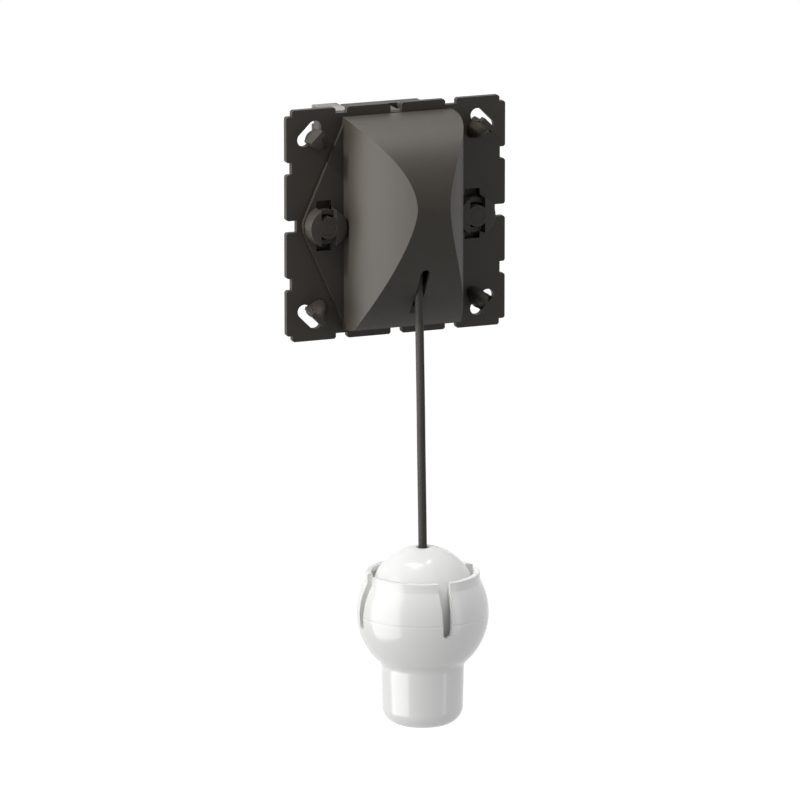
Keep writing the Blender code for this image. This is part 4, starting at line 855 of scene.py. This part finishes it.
class SWITCH_OT_stage(bpy.types.Operator):
    """Sets up the camera, the pale floor and the studio light"""

    bl_idname = "switch.stage"
    bl_label = "Studio"

    def execute(self, context):
        scene = context.scene
        scene.view_settings.view_transform = "Standard"
        self.camera(scene)
        self.floor(scene)
        self.world(scene)
        self.lamps(scene)
        return {"FINISHED"}

    def camera(self, scene):
        """A long lens in front, a little to the left and above."""
        data = bpy.data.cameras.new("Camera")
        data.sensor_width = CAMERA_SENSOR
        data.lens = CAMERA_LENS
        data.clip_end = CAMERA_CLIP_END
        place = Vector(CAMERA_TARGET) + Vector(CAMERA_DIRECTION).normalized() * CAMERA_DISTANCE
        scene.camera = self.aim(scene, data, place, CAMERA_TARGET)

    def floor(self, scene):
        """A pale floor far below."""
        bm = bmesh.new()
        bmesh.ops.create_grid(bm, x_segments=2, y_segments=2, size=FLOOR_REACH)
        bmesh.ops.translate(bm, vec=(0, 0, FLOOR_Z), verts=bm.verts)
        obj = to_object("floor", bm)
        mat, tree, shader = shader_nodes("studio_floor")
        shader.inputs["Roughness"].default_value = 0.9
        pale = tint(tree, noise(tree, scale=3.0), tuple(scene.switch_finishes.floor), change=0.01)
        tree.links.new(pale, shader.inputs["Base Color"])
        lift = add(tree, "ShaderNodeMath")
        lift.operation = "MULTIPLY"
        lift.inputs[1].default_value = FLOOR_LIFT
        tree.links.new(seen_directly(tree), lift.inputs[0])
        glow = add(tree, "ShaderNodeEmission", Color=WHITE)
        tree.links.new(lift.outputs["Value"], glow.inputs["Strength"])
        summed = add(tree, "ShaderNodeAddShader")
        tree.links.new(shader.outputs["BSDF"], summed.inputs[0])
        tree.links.new(glow.outputs["Emission"], summed.inputs[1])
        tree.links.new(summed.outputs["Shader"], tree.nodes["Material Output"].inputs["Surface"])
        obj.data.materials.append(mat)

    def world(self, scene):
        """Even light from all round, which is seen as white."""
        world = bpy.data.worlds.new("studio")
        world.use_nodes = True
        scene.world = world
        tree = world.node_tree
        ambient = tree.nodes["Background"]
        ambient.inputs["Color"].default_value = AMBIENT_COLOUR
        ambient.inputs["Strength"].default_value = AMBIENT
        white = add(tree, "ShaderNodeBackground", Color=WHITE, Strength=1.0)
        mixed = tree.nodes.new("ShaderNodeMixShader")
        tree.links.new(seen_directly(tree), mixed.inputs["Fac"])
        tree.links.new(ambient.outputs["Background"], mixed.inputs[1])
        tree.links.new(white.outputs["Background"], mixed.inputs[2])
        tree.links.new(mixed.outputs["Shader"], tree.nodes["World Output"].inputs["Surface"])

    def lamps(self, scene):
        """Soft boxes, their reflections and the spot on the hood."""
        for boxes in (SOFT_BOXES, REFLECTED_BOXES):
            for name, place, width, height, watts in boxes:
                data = bpy.data.lights.new(name, "AREA")
                data.shape = "RECTANGLE"
                data.size, data.size_y = width, height
                data.energy = watts
                lamp = self.aim(scene, data, place, SOFT_BOX_TARGET)
                lamp.visible_diffuse = boxes is SOFT_BOXES
        spot = bpy.data.lights.new("hood_spot", "SPOT")
        spot.energy = SPOT_WATTS
        spot.spot_size = math.radians(SPOT_ANGLE)
        spot.spot_blend = SPOT_BLEND
        spot.shadow_soft_size = SPOT_SOFTNESS
        lamp = self.aim(scene, spot, SPOT_PLACE, SPOT_TARGET)
        lamp.visible_glossy = False

    def aim(self, scene, data, place, target):
        """A lamp or camera at a place, turned to a target."""
        obj = bpy.data.objects.new(data.name, data)
        scene.collection.objects.link(obj)
        obj.location = place
        obj.rotation_euler = (Vector(target) - Vector(place)).to_track_quat("-Z", "Y").to_euler()
        return obj


class SWITCH_OT_cord(bpy.types.Operator):
    """Lays the pull cord from its barrel through the hood's slot into the knob, where it is knotted"""

    bl_idname = "switch.cord"
    bl_label = "Pull cord"

    def execute(self, context):
        s = context.scene.switch_cord
        run = smooth_run(CORD_ROUTE, s.spacing)
        curve = bpy.data.curves.new("cord_line", "CURVE")
        curve.dimensions = "3D"
        curve.bevel_depth = s.radius
        curve.bevel_resolution = 6
        curve.use_fill_caps = True
        spline = curve.splines.new("POLY")
        spline.points.add(len(run) - 1)
        for point, place in zip(spline.points, run):
            point.co = (*place, 1.0)
        guide = bpy.data.objects.new("cord_line", curve)
        context.scene.collection.objects.link(guide)
        cord = to_object("hanging_cord", taken_from(guide))
        cord.data.materials.append(finish_for("cord"))
        cord.data.shade_smooth()
        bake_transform(cord)
        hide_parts("cord_upper", "pull_cord")
        knot = frame["nodes"]["cord_knot"].data
        knot.materials.clear()
        knot.materials.append(finish_for("cord"))
        return {"FINISHED"}


class SWITCH_OT_mounting_frame(bpy.types.Operator):
    """Makes the square plate with its notches, slots, hooks, rails and lips"""

    bl_idname = "switch.mounting_frame"
    bl_label = "Mounting frame"

    def execute(self, context):
        s, hood = context.scene.switch_plate, context.scene.switch_hood
        front = Matrix.Translation((0, -s.thick, 0)) @ TO_FRONT
        deep = 2 * s.thick
        corners = [(sx, sz) for sz in (1, -1) for sx in (-1, 1)]
        wide = HOUSING_HIGH.x - LUG_REACH + s.opening_gap
        tall = HOUSING_HIGH.z + s.opening_gap
        opening = [(-wide, -tall), (wide, -tall), (wide, tall), (-wide, tall)]
        cutters = [prism(opening, -deep, deep, front)]
        cutters += [prism(corner_slot(s, sx, sz), -deep, deep, front) for sx, sz in corners]
        half = hood.window_width / 2
        for sx in (-1, 1):
            x = sx * hood.boss_x
            cutters.append(rod(s.pin_hole, (x, -deep, 0), (x, deep, 0)))
            cutters.append(rod(s.pin_seat, (x, -s.pin_seat_depth, 0), (x, deep, 0)))
            for sz in (-1, 1):
                low, high = sorted((sz * hood.ledge_outer, sz * hood.window_reach))
                cutters.append(block((x - half, -deep, low), (x + half, hood.window_sink - s.thick, high)))
        plate = carve(prism(plate_outline(s), -s.thick, 0.0, front), cutters)
        shapes = [plate] + [hook(s, sx, sz) for sx, sz in corners]
        shapes += [self.rail(s, sx, wide) for sx in (-1, 1)] + [self.lip(s, sz, tall) for sz in (-1, 1)]
        piece("mounting_plate", together(shapes), "moulding", "base", ["mounting_frame"], s.edge)
        return {"FINISHED"}

    def rail(self, s, sx, wide):
        """A rail behind the plate with a window for the housing's lug."""
        near, far = sorted((sx * wide, sx * (wide + s.rail_thick)))
        bar = block((near, -s.thick / 2, -s.rail_length / 2), (far, PLATE_HIGH.y, s.rail_length / 2))
        half = s.rail_window / 2
        window = block((near - s.thick, s.rail_window_near, -half), (far + s.thick, s.rail_window_far, half))
        return carve(bar, [window])

    def lip(self, s, sz, tall):
        """A short lip behind the plate over the housing's end."""
        near, far = sorted((sz * tall, sz * (s.side / 2 - s.top_notch)))
        return block((-s.lip_length / 2, -s.thick / 2, near), (s.lip_length / 2, s.lip_depth, far))


class SWITCH_OT_hood(bpy.types.Operator):
    """Makes the hollow hood with its flange, side bosses and cord slot"""

    bl_idname = "switch.hood"
    bl_label = "Hood"

    def execute(self, context):
        s, plate = context.scene.switch_hood, context.scene.switch_plate
        base_y = -(plate.thick + s.lift)
        base = Matrix.Translation((0, base_y, 0))
        shell = hood_blank(s, base, 0.0, 0.0)
        hollow = hood_blank(s, base, s.wall, -HOLLOW_BELOW * s.wall)
        shell = carve(shell, [hollow] + cord_slot(s, -plate.thick))
        shapes = [self.flange(s, base, base_y)]
        shapes += [self.bored_boss(s, plate.pin_hole, base_y, sx * s.boss_x) for sx in (-1, 1)]
        piece("hood_shell", shell, "moulding", "base", ["hood_cover"], s.crease, segments=4,
              sharp=CREASE_ANGLE)
        piece("hood_flange", together(shapes), "moulding", "base", ["hood_cover"], s.edge)
        return {"FINISHED"}

    def flange(self, s, base, base_y):
        """The flat flange under the hood, open inside it and at the bosses' windows."""
        flange = prism(flange_outline(s), 0.0, s.flange_thick, base @ TO_FRONT)
        cutters = [hood_blank(s, base, s.flange_root, -HOLLOW_BELOW * s.wall)]
        cutters += [boss_window(s, base_y, sx * s.boss_x) for sx in (-1, 1)]
        return carve(flange, cutters)

    def bored_boss(self, s, bore, base_y, x):
        """A boss with its windows and a hole for the pin that holds it from behind."""
        face = base_y - s.boss_height
        hole = rod(bore, (x, base_y + s.boss_height, 0), (x, face + s.boss_cover, 0))
        return carve(boss(s, base_y, x), [boss_window(s, base_y, x), hole])


class SWITCH_OT_knob(bpy.types.Operator):
    """Makes the knob's slit cup and its domed insert"""

    bl_idname = "switch.knob"
    bl_label = "Pull knob"

    def execute(self, context):
        s = context.scene.switch_knob
        middle = (CUP_LOW + CUP_HIGH) / 2
        place = Matrix.Translation((0, middle.y, CUP_LOW.z + s.foot_drop))
        cup = carve(turned(cup_profile(s), place, s.steps), petal_slots(s, place))
        piece("knob_outer_cup", cup, "knob", "knob", ["knob_cup"], s.edge, segments=4, sharp=KNOB_ANGLE)
        dome = turned(dome_profile(s), place, s.steps, closed=True)
        piece("knob_insert", dome, "knob", "knob", ["knob_dome"], sharp=KNOB_ANGLE)
        return {"FINISHED"}


class SWITCH_OT_inner_parts(bpy.types.Operator):
    """Eases the edges of the housing, contacts and fasteners and gives them their finishes"""

    bl_idname = "switch.inner_parts"
    bl_label = "Housing and mechanism"

    def execute(self, context):
        bodies = frame["record"]["behaviour"]["bodies"]
        body_of = {node: body for body, nodes in bodies.items() for node in nodes}
        for node, (kind, radius) in EASED_NODES.items():
            bm = node_copy(node)
            flat = math.radians(FLAT_ANGLE)
            bmesh.ops.dissolve_limit(bm, angle_limit=flat, verts=bm.verts, edges=bm.edges)
            piece(node + "_eased", bm, kind, body_of[node], [node], radius * MM, segments=2)
        return {"FINISHED"}


class SWITCH_OT_springs(bpy.types.Operator):
    """Makes the coil spring and the clamps' leaves, each leaf cut into straight lengths up to where its tab
    presses it
    """

    bl_idname = "switch.springs"
    bl_label = "Springs"

    def execute(self, context):
        s = context.scene.switch_springs
        coil = dressed("plunger_coil", node_copy("return_spring"), "steel", ["return_spring"])
        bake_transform(coil)
        for level, body in (("upper", "release_top"), ("lower", "release_bottom")):
            self.leaf(s, "clamp_spring_" + level, body)
        return {"FINISHED"}

    def leaf(self, s, node, body):
        """A clamp whose free leaf is cut into straight lengths between the housing's wall and the release
        tab's foot.
        """
        low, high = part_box(node)
        side = 1 if low.x > 0 else -1
        root = side * (max(abs(low.x), abs(high.x)) - s.leaf_root)
        press = side * s.press_x
        bm = node_copy(node)
        for i in range(s.leaf_steps + 1):
            everything = bm.verts[:] + bm.edges[:] + bm.faces[:]
            cut = (root + (press - root) * i / s.leaf_steps, 0, 0)
            bmesh.ops.bisect_plane(bm, geom=everything, plane_co=cut, plane_no=(1, 0, 0))
        leaf = dressed(node + "_leaf", bm, "steel", [node])
        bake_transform(leaf)


class SWITCH_PT_panel(bpy.types.Panel):
    """Lists the switch's pieces and their sizes"""

    bl_idname = "SWITCH_PT_panel"
    bl_label = "Pull Cord Switch"
    bl_space_type = "VIEW_3D"
    bl_region_type = "UI"
    bl_category = "Pull Cord Switch"

    def draw(self, context):
        layout = self.layout
        for operator in OPERATORS:
            layout.operator(operator.bl_idname)
        for name in GROUPS:
            sizes = getattr(context.scene, name)
            box = layout.box()
            for key in sizes.__annotations__:
                box.prop(sizes, key)


GROUPS = {
    "switch_plate": PlateSizes,
    "switch_hood": HoodSizes,
    "switch_knob": KnobSizes,
    "switch_cord": CordSizes,
    "switch_springs": SpringSizes,
    "switch_finishes": Finishes,
}
OPERATORS = (
    SWITCH_OT_stage,
    SWITCH_OT_cord,
    SWITCH_OT_mounting_frame,
    SWITCH_OT_hood,
    SWITCH_OT_knob,
    SWITCH_OT_inner_parts,
    SWITCH_OT_springs,
)
CLASSES = (*GROUPS.values(), *OPERATORS, SWITCH_PT_panel)


def register():
    """Adds the classes, and their sizes and colours to the scene."""
    for cls in CLASSES:
        bpy.utils.register_class(cls)
    for name, group in GROUPS.items():
        setattr(bpy.types.Scene, name, PointerProperty(type=group))


def unregister():
    """Takes the classes, sizes and colours away again."""
    for name in GROUPS:
        delattr(bpy.types.Scene, name)
    for cls in reversed(CLASSES):
        bpy.utils.unregister_class(cls)


def main():
    """Makes the stage and every piece."""
    register()
    bpy.ops.switch.stage()
    bpy.ops.switch.cord()
    bpy.ops.switch.mounting_frame()
    bpy.ops.switch.hood()
    bpy.ops.switch.knob()
    bpy.ops.switch.inner_parts()
    bpy.ops.switch.springs()


if __name__ == "__main__":
    main()
